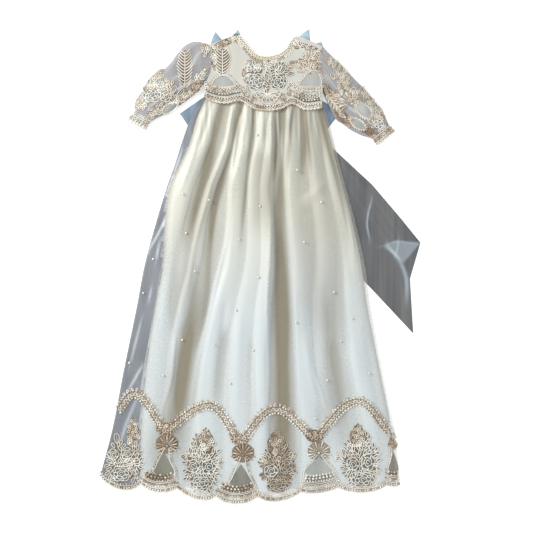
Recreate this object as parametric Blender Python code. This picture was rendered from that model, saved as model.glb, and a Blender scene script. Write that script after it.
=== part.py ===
"""A baby's long lace gown, laid out flat on its back.

Plan sizes are in millimetres on the gown itself: x is measured from the centre front, to the right as
seen, and "down" from the waist seam towards the hem. Heights are in millimetres above the surface that
the gown lies on. The function spot turns the three into a point of the part's own frame.
"""

import math
from collections import namedtuple

import bmesh
import bpy
from mathutils import Vector
from mathutils.bvhtree import BVHTree

# Driving sizes
MM = 0.001
GOWN_LEFT = -322.0
SASH_RIGHT = 306.0
BOW_TOP = -140.0
HEM_LOWEST = 788.0
CLOTH = 1.0
SEAM = 0.3
STOUT_CLOTH = 1.3
CENTRE_X = (GOWN_LEFT + SASH_RIGHT) / 2
CENTRE_DOWN = (BOW_TOP + HEM_LOWEST) / 2
SHARP_ANGLE = 40

# Sash, tied behind the waist and so under the gown
LOOP_HIGH = 2.3
LOOP_COVER = LOOP_HIGH + SEAM
KNOT_HIGH = LOOP_COVER + CLOTH
KNOT = (-12.0, -14.0)
KNOT_LONG = 24.0
KNOT_WIDE = 19.0
COVER_MARGIN = 26.0
COVER_SLOPE = 90.0
STRAP_COVER = CLOTH + 2 * SEAM
KNOT_DROP = 1.5
KNOT_SIDES = 12
KNOT_LEVELS = ((0, 0.5), (0.25, 0), (0.75, 0), (1, 1.2))
KNOT_SQUARE = 0.5
LOOP_INNER = 0.98
LOOP_PARTS = (0, 0.33, 0.67, 1)
RIBBON_STEPS = 3
RIBBON_PARTS = (0, 0.25, 0.5, 0.75, 1)

SashRow = namedtuple("SashRow", "left_x left_down right_x right_down")
LOOP_LEFT = (
    SashRow(-26, -17, -25, -8),
    SashRow(-70, -28, -60, 28),
    SashRow(-121, -5, -90, 66),
    SashRow(-165, 26, -108, 110),
)
LOOP_RIGHT = (
    SashRow(2, -17, 1, -8),
    SashRow(48, -28, 38, 28),
    SashRow(100, -8, 68, 60),
    SashRow(150, 22, 92, 100),
)
TAIL_RIGHT = (
    SashRow(-5, -3, -13, -3),
    SashRow(34, 14, -8, 52),
    SashRow(70, 45, 4, 122),
    SashRow(128, 88, 33, 178),
    SashRow(211, 164, 116, 262),
    SashRow(268, 231, 176, 332),
    SashRow(306, 278, 292, 456),
)
TAIL_LEFT = (
    SashRow(-14, -3, -22, -3),
    SashRow(-14, 55, -52, 52),
    SashRow(-8, 112, -86, 109),
    SashRow(-6, 170, -112, 165),
    SashRow(-12, 245, -140, 240),
    SashRow(-40, 400, -160, 360),
)
BAND_LEFT = (SashRow(-25, -22, -25, -18), SashRow(-70, -26, -70, -2), SashRow(-108, -26, -108, -4))
BAND_RIGHT = (SashRow(1, -22, 1, -18), SashRow(50, -26, 50, -2), SashRow(105, -26, 105, -4))

# Shoulder bows, each loop from the knot to its free end
BowLoop = namedtuple("BowLoop", "name knot_x knot_down end_x end_down tip_x tip_down")
BOW_LOOPS = (
    BowLoop("bow_left_loop_outer", -80, -112, -105, -108, -95, -135),
    BowLoop("bow_left_loop_inner", -68, -114, -44, -117, -51, -139),
    BowLoop("bow_right_loop_inner", 88, -110, 68, -124, 89, -140),
    BowLoop("bow_right_loop_outer", 98, -107, 116, -98, 112, -115),
)
BOW_KNOTS = (
    ("bow_left_knot", -74, -112),
    ("bow_right_knot", 93, -106),
)
BOW_KNOT_HALF = 4.0
BOW_HIGH = 2.6
BOW_MARGIN = 9.0
BOW_SLOPE = 34.0
BOW_WAIST_HALF = 3.0
BOW_EDGE = 0.55
BOW_RINGS = ((0.0, 1.8), (0.35, BOW_HIGH), (0.8, BOW_HIGH), (1.0, 1.4))

# Skirt
SKIRT_TOP = -12.0
EDGE_ROUND = 1.6
LAYER_GAP = 0.5
FOLD_RISE = 3.1
STRIP_SLOPE = 0.35
LINING_SHORT = 6.0
HEM_ROUNDNESS = 0.7
ROW_SHARES = (0, 0.035, 0.075, 0.12, 0.175, 0.24, 0.32, 0.42, 0.54, 0.66, 0.78, 0.9, 1)

SkirtRow = namedtuple("SkirtRow", "down net_left satin_left satin_right net_right")
SKIRT = (
    SkirtRow(-12, -113, -107, 106, 112),
    SkirtRow(4, -124, -117, 110, 115),
    SkirtRow(35, -143, -131, 119, 124),
    SkirtRow(84, -161, -145, 132, 137),
    SkirtRow(125, -174, -164, 142, 147),
    SkirtRow(170, -190, -184, 154, 160),
    SkirtRow(235, -210, -193, 172, 178),
    SkirtRow(320, -233, -198, 190, 197),
    SkirtRow(404, -249, -213, 202, 209),
    SkirtRow(526, -274, -231, 226, 233),
    SkirtRow(640, -296, -241, 248, 255),
    SkirtRow(740, -322, -243, 258, 265),
)

# Scallops of the hem, from left to right: where each starts and how deep it hangs
Scallop = namedtuple("Scallop", "left down depth cells")
SCALLOPS = (
    Scallop(-322, 731, 20, 4),
    Scallop(-241, 748, 15, 5),
    Scallop(-170, 755, 15, 5),
    Scallop(-94, 772, 15, 5),
    Scallop(-12, 772, 15, 5),
    Scallop(72, 763, 8, 5),
    Scallop(146, 755, 14, 5),
    Scallop(240, 751, 3, 2),
)
HEM_RIGHT = (265.0, 752.0)

# Folds of the front from left to right: place across the satin and rise at five distances down, and
# reach each side
FOLD_DOWNS = (-12, 110, 260, 500, 740)
FOLD_FADE = 0.04
Fold = namedtuple("Fold", "places left right rises")
FOLDS = (
    Fold((0.09, 0.075, 0.05, 0.05, 0.06), 0.09, 0.08, (0.1, 0.8, 0.5, 0.3, 0.2)),
    Fold((0.26, 0.25, 0.17, 0.11, 0.13), 0.05, 0.05, (0.1, 0.8, 0.5, 0.4, 0.3)),
    Fold((0.37, 0.38, 0.36, 0.26, 0.23), 0.04, 0.10, (0.1, 0.9, 1.0, 0.8, 0.5)),
    Fold((0.50, 0.49, 0.47, 0.39, 0.38), 0.06, 0.09, (0.1, 0.6, 0.5, 0.6, 0.4)),
    Fold((0.575, 0.57, 0.55, 0.505, 0.49), 0.07, 0.03, (0.1, 0.9, 1.0, 0.9, 0.6)),
    Fold((0.64, 0.635, 0.61, 0.58, 0.56), 0.03, 0.03, (0.1, 0.5, 0.2, 0.1, 0.1)),
    Fold((0.72, 0.71, 0.68, 0.67, 0.65), 0.03, 0.08, (0.1, 0.9, 1.0, 0.9, 0.6)),
    Fold((0.87, 0.87, 0.84, 0.77, 0.78), 0.06, 0.06, (0.1, 0.8, 0.7, 0.5, 0.4)),
    Fold((0.97, 0.96, 0.95, 0.91, 0.91), 0.04, 0.07, (0.1, 0.6, 0.5, 0.6, 0.4)),
)

# Bodice: lower edge and upper edge from left to right, and the armhole edge between them
EdgePoint = namedtuple("EdgePoint", "x down")
BODICE_LOWER = (
    EdgePoint(-117, -10), EdgePoint(-108, 0), EdgePoint(-76, 7), EdgePoint(-46, 2),
    EdgePoint(-20, 17), EdgePoint(8, 21), EdgePoint(34, 17), EdgePoint(55, 8), EdgePoint(80, 19),
    EdgePoint(113, 16),
)
BODICE_UPPER = (
    EdgePoint(-106, -109), EdgePoint(-82, -118), EdgePoint(-50, -128), EdgePoint(-41, -119),
    EdgePoint(-31, -105), EdgePoint(-16, -90), EdgePoint(8, -86), EdgePoint(31, -92),
    EdgePoint(47, -103), EdgePoint(56, -118), EdgePoint(64, -125), EdgePoint(90, -116),
    EdgePoint(114, -105),
)
SIDE_LEFT = (
    EdgePoint(-106, -109), EdgePoint(-102, -77), EdgePoint(-104, -56), EdgePoint(-112, -36),
    EdgePoint(-117, -10),
)
SIDE_RIGHT = (
    EdgePoint(114, -105), EdgePoint(109, -84), EdgePoint(110, -60), EdgePoint(114, -40),
    EdgePoint(113, 16),
)
SIDE_REACH = 0.12
ARMHOLE_SEAM = 0.7
BACK_SPLIT = 0.0008
BODICE_LIFT = 7.5
BODICE_LOW = 2.1
LIFT_FROM = SKIRT_TOP + 4
LIFT_SPAN = 34.0
SWELL = 1.4
SWELL_HALF = 90.0
SWELL_DOWN = -60.0
SWELL_REACH = 50.0
BACK_LOWEST = SKIRT_TOP - 0.6
BACK_MIDDLE = 0.5
BODICE_ROWS = 8
BODICE_PLACES = (
    0, 0.06, 0.13, 0.2, 0.25, 0.285, 0.315, 0.35, 0.4, 0.45, 0.5, 0.55, 0.6, 0.65, 0.69, 0.725, 0.76,
    0.81, 0.87, 0.94, 1,
)

# Sleeves: each row is a section from the upper to the lower edge
SleeveRow = namedtuple("SleeveRow", "top_x top_down low_x low_down bulge high")
SLEEVE_LEFT = (
    SleeveRow(-106, -109, -113, -38, 0, 4.6),
    SleeveRow(-133, -115, -121, -31, 6, 6.4),
    SleeveRow(-152, -109, -129, -17, 0, 6.0),
    SleeveRow(-168, -93, -142, -6, 0, 5.8),
    SleeveRow(-183, -73, -158, 6, 0, 5.6),
    SleeveRow(-203, -53, -174, 16, 0, 5.4),
    SleeveRow(-220, -31, -189, 26, 0, 5.2),
    SleeveRow(-235, -8, -205, 33, 0, 5.0),
    SleeveRow(-247, 11, -216, 39, 0, 4.8),
    SleeveRow(-257, 28, -224, 45, 0, 4.4),
)
SLEEVE_RIGHT = (
    SleeveRow(114, -105, 115, -15, 0, 4.6),
    SleeveRow(131, -88, 127, 11, -4, 6.2),
    SleeveRow(148, -70, 140, 37, 0, 6.0),
    SleeveRow(164, -55, 154, 47, 0, 5.8),
    SleeveRow(179, -39, 167, 57, 0, 5.6),
    SleeveRow(195, -23, 180, 64, 0, 5.4),
    SleeveRow(211, -2, 191, 69, 0, 5.2),
    SleeveRow(226, 20, 199, 71, 0, 5.0),
    SleeveRow(238, 35, 205, 73, 0, 4.8),
    SleeveRow(244, 50, 213, 76, 0, 4.4),
)
SLEEVE_FRONT = (0.04, 0.18, 0.34, 0.5, 0.66, 0.82, 0.96)
SLEEVE_BACK = (0.96, 0.66, 0.34, 0.04)
SLEEVE_SHAPE = (0.6, 0.9, 1.0, 1.0, 0.92, 0.72, 0.6)
SLEEVE_INNER = 0.025
CUFF_LONG = 14.0
CUFF_WAVES = 6
CUFF_HIGH = 3.7
CUFF_WAVE = 1.0
CUFF_STEPS = ((0.04, 1.0), (0.5, 1.06), (1.0, 1.14))
CUFF_FRONT = 0.94
CUFF_BACK = (0.94, 0.35, -0.35, -0.94)
CUFF_ROUND = 0.35
CUFF_INNER = 0.96

# Lace laid on the cloth
LACE = 1.2
BAND_CROWN = 0.8
GARLAND_WIDE = 16.0
GARLAND_STEPS = 12
EDGING_WIDE = 6.0
EDGING_INSET = EDGING_WIDE / 2 + 2
EDGING_CROWN = 0.4
NECK_WIDE = 9.0
NECK_INSET = 5.5
NECK_PLACES = (-49, -45, -41, -36, -31, -24, -16, -8, 0, 8, 16, 24, 31, 39, 47, 52, 56, 60, 63)
WAIST_WIDE = 8.0
WAIST_INSET = 5.0
WAIST_ENDS = 4.0
WAIST_STEPS = 26
LOBE_DEPTH = 0.07
MOTIF_SPOKES = 16
MOTIF_RINGS = ((1.0, 0.0), (0.72, 0.5), (0.36, 1.1))
RAY_FROM = 60.0
SEARCH_STEP = 1.0
SEARCH_TURNS = 8
TEST_PARTS = 6
SETTLE_ROUNDS = 6
Arch = namedtuple("Arch", "left left_down peak peak_down right right_down")
GARLAND = (
    Arch(-284, 602, -254, 571, -193, 645),
    Arch(-193, 645, -107, 593, -47, 665),
    Arch(-47, 665, 21, 601, 99, 659),
    Arch(99, 659, 183, 585, 246, 647),
)
Motif = namedtuple("Motif", "name x down half_wide half_long lobes")
BOUQUETS = (
    Motif("hem_bouquet_1", -277, 683, 33, 56, 5),
    Motif("hem_bouquet_2", -121, 705, 41, 56, 5),
    Motif("hem_bouquet_3", 27, 706, 36, 56, 5),
    Motif("hem_bouquet_4", 191, 696, 41, 54, 5),
)
FANS = (
    Motif("hem_fan_1", -197, 704, 25, 44, 4),
    Motif("hem_fan_2", -46, 722, 27, 44, 4),
    Motif("hem_fan_3", 106, 712, 27, 39, 4),
    Motif("hem_fan_4", 246, 700, 12, 37, 4),
)
BODICE_MOTIFS = (
    Motif("bodice_lace_centre", 10, -32, 34, 36, 5),
    Motif("bodice_leaf_left", -76, -76, 11, 24, 3),
    Motif("bodice_leaf_right", 86, -76, 18, 18, 4),
    Motif("bodice_fan_left", -76, -27, 27, 19, 4),
    Motif("bodice_fan_right", 88, -24, 20, 26, 4),
)

# Colour, roughness
IVORY = (0.80, 0.78, 0.68, 1)
TULLE = (0.82, 0.82, 0.80, 1)
GREY_NET = (0.50, 0.50, 0.55, 1)
CORD = (0.72, 0.58, 0.42, 1)
SASH_GREY = (0.15, 0.17, 0.19, 1)
BOW_BLUE = (0.33, 0.56, 0.68, 1)


def smooth_read(places, values, place):
    """The smooth curve through the values at the places, read at one place."""
    if place <= places[0]:
        return values[0]
    if place >= places[-1]:
        return values[-1]
    right = next(i for i, p in enumerate(places) if p > place)
    left = right - 1
    span = places[right] - places[left]
    share = (place - places[left]) / span

    def slope(i):
        low = max(i - 1, 0)
        high = min(i + 1, len(places) - 1)
        return (values[high] - values[low]) / (places[high] - places[low]) * span

    square = share * share
    cube = square * share
    start = (2 * cube - 3 * square + 1) * values[left] + (cube - 2 * square + share) * slope(left)
    end = (3 * square - 2 * cube) * values[right] + (cube - square) * slope(right)
    return start + end


def edge_read(edge, x):
    return smooth_read([p.x for p in edge], [p.down for p in edge], x)


def spot(x, down, high):
    """A point of the gown in the part's own frame, in metres."""
    return Vector((x - CENTRE_X, CENTRE_DOWN - down, high)) * MM


def near_line(x, down, start, end):
    """Distance from a point in plan to the straight line between two others."""
    along = Vector((end[0] - start[0], end[1] - start[1]))
    away = Vector((x - start[0], down - start[1]))
    share = min(1, max(0, away.dot(along) / along.length_squared))
    return (away - along * share).length


def material(name, colour, rough):
    found = bpy.data.materials.new(name)
    found.use_nodes = True
    shader = found.node_tree.nodes["Principled BSDF"]
    shader.inputs["Base Color"].default_value = colour
    shader.inputs["Roughness"].default_value = rough
    shader.inputs["Metallic"].default_value = 0
    return found


def solid(name, points, faces, colour, rough=0.8):
    """One closed body with its faces pointing out."""
    mesh = bpy.data.meshes.new(name)
    mesh.from_pydata([tuple(p) for p in points], [], faces)
    work = bmesh.new()
    work.from_mesh(mesh)
    bmesh.ops.recalc_face_normals(work, faces=work.faces)
    bmesh.ops.triangulate(work, faces=[f for f in work.faces if len(f.verts) > 3])
    work.to_mesh(mesh)
    work.free()
    mesh.shade_smooth()
    mesh.set_sharp_from_angle(angle=math.radians(SHARP_ANGLE))
    made = bpy.data.objects.new(name, mesh)
    bpy.context.scene.collection.objects.link(made)
    mesh.materials.append(material(name, colour, rough))
    return made


def patch_faces(first, rows, columns, around=False):
    """Triangles of a grid of points numbered row by row, each square cut the same way."""
    faces = []
    for row in range(rows - 1):
        for column in range(columns if around else columns - 1):
            after = (column + 1) % columns
            a = first + row * columns + column
            b = first + row * columns + after
            c = first + (row + 1) * columns + after
            d = first + (row + 1) * columns + column
            faces += [(a, d, c), (a, c, b)]
    return faces


def tube(name, outer, inner, colour):
    """A cloth tube, open at both ends, from matching rings outside and inside."""
    rows = len(outer)
    around = len(outer[0])
    points = [p for ring in outer + inner for p in ring]
    inside = rows * around
    faces = patch_faces(0, rows, around, True)
    faces += [tuple(reversed(f)) for f in patch_faces(inside, rows, around, True)]
    for row in (0, rows - 1):
        for place in range(around):
            after = (place + 1) % around
            a = row * around + place
            b = row * around + after
            faces += [(a, b, b + inside), (a, b + inside, a + inside)]
    return solid(name, points, faces, colour)


def plate(name, upper, lower, colour):
    """A flat panel from a grid of points above and a matching grid below."""
    rows = len(upper)
    columns = len(upper[0])
    points = [p for row in upper + lower for p in row]
    below = rows * columns
    faces = patch_faces(0, rows, columns)
    faces += [tuple(reversed(f)) for f in patch_faces(below, rows, columns)]
    rim = list(range(columns))
    rim += [r * columns + columns - 1 for r in range(1, rows)]
    rim += [(rows - 1) * columns + c for c in range(columns - 2, -1, -1)]
    rim += [r * columns for r in range(rows - 2, 0, -1)]
    for a, b in zip(rim, rim[1:] + rim[:1]):
        faces += [(a, b, b + below), (a, b + below, a + below)]
    return solid(name, points, faces, colour)


def rod(name, rings, colour):
    """A solid through closed rings of points, with flat ends."""
    around = len(rings[0])
    points = [p for ring in rings for p in ring]
    last = (len(rings) - 1) * around
    faces = patch_faces(0, len(rings), around, True)
    faces.append(tuple(range(around)))
    faces.append(tuple(last + i for i in range(around)))
    return solid(name, points, faces, colour)


# Sash and bows: they say how high the gown lies over them


def inside_cover(x, down, rows, high):
    """How high a ribbon lifts the cloth at a place: level over it, then sloping off."""
    nearest = 1e9
    for row in rows:
        nearest = min(
            nearest, near_line(x, down, (row.left_x, row.left_down), (row.right_x, row.right_down))
        )
    for a, b in zip(rows, rows[1:]):
        if between(x, down, a, b):
            nearest = 0
        for side in ("left", "right"):
            start = (getattr(a, side + "_x"), getattr(a, side + "_down"))
            end = (getattr(b, side + "_x"), getattr(b, side + "_down"))
            nearest = min(nearest, near_line(x, down, start, end))
    share = min(1, max(0, (nearest - COVER_MARGIN) / COVER_SLOPE))
    return high * (1 - share * share * (3 - 2 * share))


def between(x, down, a, b):
    """Whether a place lies in the four-sided stretch between two rows of a ribbon."""
    corners = (
        (a.left_x, a.left_down), (a.right_x, a.right_down),
        (b.right_x, b.right_down), (b.left_x, b.left_down),
    )
    signs = []
    for start, end in zip(corners, corners[1:] + corners[:1]):
        turn = (end[0] - start[0]) * (down - start[1]) - (end[1] - start[1]) * (x - start[0])
        signs.append(turn > 0)
    return all(signs) or not any(signs)


def loop_cover(x, down):
    """Height of what lies over the sash loops."""
    return max(inside_cover(x, down, rows, LOOP_COVER) for rows in (LOOP_LEFT, LOOP_RIGHT))


def bow_cover(x, down):
    """Height of what lies over the shoulder bows."""
    nearest = min(
        near_line(x, down, (b.knot_x, b.knot_down), (b.end_x, b.end_down)) for b in BOW_LOOPS
    )
    share = min(1, max(0, (nearest - BOW_MARGIN) / BOW_SLOPE))
    return (BOW_HIGH + SEAM) * (1 - share * share * (3 - 2 * share))


def base(x, down):
    """Height of the gown's underside: it is on the floor but for the sash and bows under it."""
    loops = loop_cover(x, down)
    straps = max(
        inside_cover(x, down, rows, STRAP_COVER)
        for rows in (TAIL_LEFT, TAIL_RIGHT, BAND_LEFT, BAND_RIGHT, LOOP_LEFT, LOOP_RIGHT)
    )
    return max(loops + straps, bow_cover(x, down))


# Skirt


def skirt_edge(column, down):
    """The place of one edge of the skirt at a distance down."""
    return smooth_read([r.down for r in SKIRT], [getattr(r, column) for r in SKIRT], down)


def hem_notch(x):
    """The line through the notches of the hem."""
    places = [s.left for s in SCALLOPS] + [HEM_RIGHT[0]]
    downs = [s.down for s in SCALLOPS] + [HEM_RIGHT[1]]
    return smooth_read(places, downs, x)


def hem_edge(x):
    """The scalloped edge itself: a round arc hung between two notches."""
    ends = [s.left for s in SCALLOPS[1:]] + [HEM_RIGHT[0]]
    index = next((i for i, end in enumerate(ends) if x <= end), len(ends) - 1)
    scallop = SCALLOPS[index]
    share = min(1, max(0, (x - scallop.left) / (ends[index] - scallop.left)))
    return hem_notch(x) + scallop.depth * (1 - (2 * share - 1) ** 2) ** HEM_ROUNDNESS


def relief(place, down):
    """Height of the front's folds from 0 to 1."""
    best = 0
    for fold in FOLDS:
        centre = smooth_read(FOLD_DOWNS, fold.places, down)
        reach = fold.left if place < centre else fold.right
        share = (place - centre) / reach
        if abs(share) < 1:
            best = max(best, smooth_read(FOLD_DOWNS, fold.rises, down) * (1 - share * share) ** 2)
    fade = min(1, place / FOLD_FADE, (1 - place) / FOLD_FADE)
    return best * max(0, fade)


def satin_places():
    """Columns across the satin: one at each notch of the hem and evenly between."""
    places = []
    left = SCALLOPS[1].left
    span = HEM_RIGHT[0] - left
    ends = [s.left for s in SCALLOPS[2:]] + [HEM_RIGHT[0]]
    for scallop, after in zip(SCALLOPS[1:], ends):
        for cell in range(scallop.cells):
            places.append((scallop.left + (after - scallop.left) * cell / scallop.cells - left) / span)
    return places + [1]


PLACES = satin_places()


def hem_place(place):
    """Where a column of the satin reaches the hem."""
    return SCALLOPS[1].left + place * (HEM_RIGHT[0] - SCALLOPS[1].left)


def skirt_column(place, share):
    """Plan place on the satin's column at a share of the way down."""
    down = SKIRT_TOP + share * (hem_notch(hem_place(place)) - LINING_SHORT - SKIRT_TOP)
    left = skirt_edge("satin_left", down) + EDGE_ROUND
    right = skirt_edge("satin_right", down) - EDGE_ROUND
    return left + place * (right - left), down


# Undersides of the layers at one place: net back, satin back, satin front, net front
Layers = namedtuple("Layers", "x down net_back satin_back satin_front net_front")
NetColumn = namedtuple("NetColumn", "x down back front hem_x")


def skirt_layers(share):
    """Heights of every layer on each column of one row, with the folds in the two front ones."""
    bases = [base(*skirt_column(place, share)) for place in PLACES]
    for odd in range(1, len(PLACES) - 1, 2):
        part = (PLACES[odd] - PLACES[odd - 1]) / (PLACES[odd + 1] - PLACES[odd - 1])
        bases[odd] = bases[odd - 1] * (1 - part) + bases[odd + 1] * part
    layers = []
    for place, low in zip(PLACES, bases):
        x, down = skirt_column(place, share)
        rise = FOLD_RISE * relief(place, down)
        back = low + CLOTH + SEAM
        front = back + CLOTH + LAYER_GAP + rise
        over = front + CLOTH + LAYER_GAP + rise
        layers.append(Layers(x, down, low, back, front, over))
    return layers


def skirt_ring(fronts, backs):
    """One ring of a skirt tube, outside and inside: front, right edge, back from the right, left edge."""
    left = fronts[0]
    right = fronts[-1]
    left_mid = (backs[-1][2] + left[2] + CLOTH) / 2
    right_mid = (backs[0][2] + right[2] + CLOTH) / 2
    ring_out = [spot(left[0] - EDGE_ROUND, left[1], left_mid)]
    ring_in = [spot(left[0] - EDGE_ROUND + CLOTH, left[1], left_mid)]
    ring_out += [spot(x, down, high + CLOTH) for x, down, high in fronts]
    ring_in += [spot(x, down, high) for x, down, high in fronts]
    ring_out.append(spot(right[0] + EDGE_ROUND, right[1], right_mid))
    ring_in.append(spot(right[0] + EDGE_ROUND - CLOTH, right[1], right_mid))
    ring_out += [spot(x, down, high) for x, down, high in backs]
    ring_in += [spot(x, down, high + CLOTH) for x, down, high in backs]
    return ring_out, ring_in


def lining():
    outer = []
    inner = []
    for share in ROW_SHARES:
        layers = skirt_layers(share)
        fronts = [(p.x, p.down, p.satin_front) for p in layers]
        backs = [(p.x, p.down, p.satin_back) for p in layers[::-2]]
        ring_out, ring_in = skirt_ring(fronts, backs)
        outer.append(ring_out)
        inner.append(ring_in)
    return tube("skirt_lining", outer, inner, IVORY)


def strip_places(edge_x, near_x, cells):
    """Places across the sheer strip beside the satin, from the net's edge inwards."""
    return [edge_x + (near_x - edge_x) * cell / cells for cell in range(cells)]


def scalloped(column):
    """A column of the net carried on down to the hem's edge, sinking as it goes."""
    edge = hem_edge(column.hem_x)
    sunk = column.front - STRIP_SLOPE * (edge - column.down)
    return column._replace(down=edge, front=max(column.back + CLOTH + SEAM, sunk))


def net_row(layers, share):
    """One row of the net: undersides of its back and front on each column, edge to edge."""
    left = layers[0]
    right = layers[-1]
    edge_left = skirt_edge("net_left", left.down)
    edge_right = skirt_edge("net_right", right.down)
    columns = []
    for x in strip_places(edge_left + EDGE_ROUND, left.x, SCALLOPS[0].cells):
        part = (x - edge_left) / (left.x - edge_left)
        hem_x = SCALLOPS[0].left + part * (SCALLOPS[1].left - SCALLOPS[0].left)
        down = SKIRT_TOP + share * (hem_notch(hem_x) - LINING_SHORT - SKIRT_TOP)
        low = base(x, down)
        over = left.net_front - left.net_back + low - STRIP_SLOPE * (left.x - x)
        columns.append(NetColumn(x, down, low, max(low + CLOTH + SEAM, over), hem_x))
    for place, p in zip(PLACES, layers):
        columns.append(NetColumn(p.x, p.down, p.net_back, p.net_front, hem_place(place)))
    x = edge_right - EDGE_ROUND
    low = base(x, right.down)
    over = right.net_front - right.net_back + low - STRIP_SLOPE * (x - right.x)
    columns.append(NetColumn(x, right.down, low, over, HEM_RIGHT[0]))
    return columns


def overlay():
    outer = []
    inner = []
    rows = [net_row(skirt_layers(share), share) for share in ROW_SHARES]
    rows.append([scalloped(column) for column in rows[-1]])
    strip = SCALLOPS[0].cells
    last = len(rows[0]) - 1
    back_numbers = [0, strip // 2] + list(range(strip, last, 2)) + [last]
    for columns in rows:
        fronts = [(c.x, c.down, c.front) for c in columns]
        backs = [(columns[i].x, columns[i].down, columns[i].back) for i in reversed(back_numbers)]
        ring_out, ring_in = skirt_ring(fronts, backs)
        outer.append(ring_out)
        inner.append(ring_in)
    return tube("skirt_overlay", outer, inner, TULLE)


# Bodice


def side_x(side, down):
    """The edge of the bodice at a distance down: the armhole above, the side seam below."""
    return smooth_read([p.down for p in side], [p.x for p in side], down)


def bodice_point(place, level, lowest=math.inf):
    """Plan place on the bodice: from its left to its right edge, and from its lower edge up."""
    lower_x = BODICE_LOWER[0].x + place * (BODICE_LOWER[-1].x - BODICE_LOWER[0].x)
    upper_x = BODICE_UPPER[0].x + place * (BODICE_UPPER[-1].x - BODICE_UPPER[0].x)
    lower_down = min(edge_read(BODICE_LOWER, lower_x), lowest)
    upper_down = edge_read(BODICE_UPPER, upper_x)
    x = lower_x + level * (upper_x - lower_x)
    down = lower_down + level * (upper_down - lower_down)
    for side, share in ((SIDE_LEFT, place), (SIDE_RIGHT, 1 - place)):
        end = 0 if side is SIDE_LEFT else -1
        straight = BODICE_LOWER[end].x + level * (BODICE_UPPER[end].x - BODICE_LOWER[end].x)
        x += (side_x(side, down) - straight) * max(0, 1 - share / SIDE_REACH)
    return x, down


def bodice_lift(x, down):
    """Height of the front's underside over the base: over the gathers below, on the back above."""
    share = min(1, max(0, (LIFT_FROM - down) / LIFT_SPAN))
    low = BODICE_LIFT + (BODICE_LOW - BODICE_LIFT) * share * share * (3 - 2 * share)
    across = max(0, 1 - (x / SWELL_HALF) ** 2)
    along = max(0, 1 - ((down - SWELL_DOWN) / SWELL_REACH) ** 2)
    return low + SWELL * share * across * along


def bodice_high(x, down):
    """Height of the front's face."""
    return base(x, down) + bodice_lift(x, down) + STOUT_CLOTH


def bodice_front():
    upper = []
    lower = []
    for row in range(BODICE_ROWS + 1):
        spots = [bodice_point(place, row / BODICE_ROWS) for place in BODICE_PLACES]
        upper.append([spot(x, down, bodice_high(x, down)) for x, down in spots])
        lower.append([spot(x, down, bodice_high(x, down) - STOUT_CLOTH) for x, down in spots])
    return plate("bodice_front", upper, lower, IVORY)


def bodice_back(name, places):
    """Half of the back, up to the opening in the middle and down to the skirt."""
    upper = []
    lower = []
    for row in range(BODICE_ROWS + 1):
        spots = [bodice_point(place, row / BODICE_ROWS, BACK_LOWEST) for place in places]
        upper.append([spot(x, down, base(x, down) + CLOTH) for x, down in spots])
        lower.append([spot(x, down, base(x, down)) for x, down in spots])
    return plate(name, upper, lower, IVORY)


# Sleeves and cuffs


def sleeve_spot(row, part):
    """Plan place on a sleeve's section, which follows the armhole at the sleeve's head."""
    x = row.top_x + part * (row.low_x - row.top_x) + row.bulge * 4 * part * (1 - part)
    down = row.top_down + part * (row.low_down - row.top_down)
    if row is SLEEVE_LEFT[0]:
        x = side_x(SIDE_LEFT, down) - ARMHOLE_SEAM
    elif row is SLEEVE_RIGHT[0]:
        x = side_x(SIDE_RIGHT, down) + ARMHOLE_SEAM
    return x, down


def sleeve_fold(row, part):
    """Outer and inner point of the edge where the sleeve folds: part is 0 above and 1 below."""
    x, down = sleeve_spot(row, part)
    deep_x, deep_down = sleeve_spot(row, part + SLEEVE_INNER * (1 - 2 * part))
    mid = base(x, down) + CLOTH + SEAM / 2
    return spot(x, down, mid), spot(deep_x, deep_down, mid)


def sleeve(name, rows):
    outer = []
    inner = []
    for row in rows:
        pairs = []
        for part, shape in zip(SLEEVE_FRONT, SLEEVE_SHAPE):
            x, down = sleeve_spot(row, part)
            high = base(x, down) + max(2 * CLOTH + SEAM, row.high * shape)
            pairs.append((spot(x, down, high), spot(x, down, high - CLOTH)))
        pairs.append(sleeve_fold(row, 1))
        for part in SLEEVE_BACK:
            x, down = sleeve_spot(row, part)
            low = base(x, down)
            pairs.append((spot(x, down, low), spot(x, down, low + CLOTH)))
        pairs.append(sleeve_fold(row, 0))
        outer.append([pair[0] for pair in pairs])
        inner.append([pair[1] for pair in pairs])
    return tube(name, outer, inner, GREY_NET)


def cuff_fold(middle, half, side):
    """Outer and inner point of the edge where the frill folds: side is -1 above and 1 below."""
    place = middle + half * side
    deep = middle + half * side * CUFF_INNER
    mid = base(place.x, place.y) + CLOTH + SEAM / 2
    return spot(place.x, place.y, mid), spot(deep.x, deep.y, mid)


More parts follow.
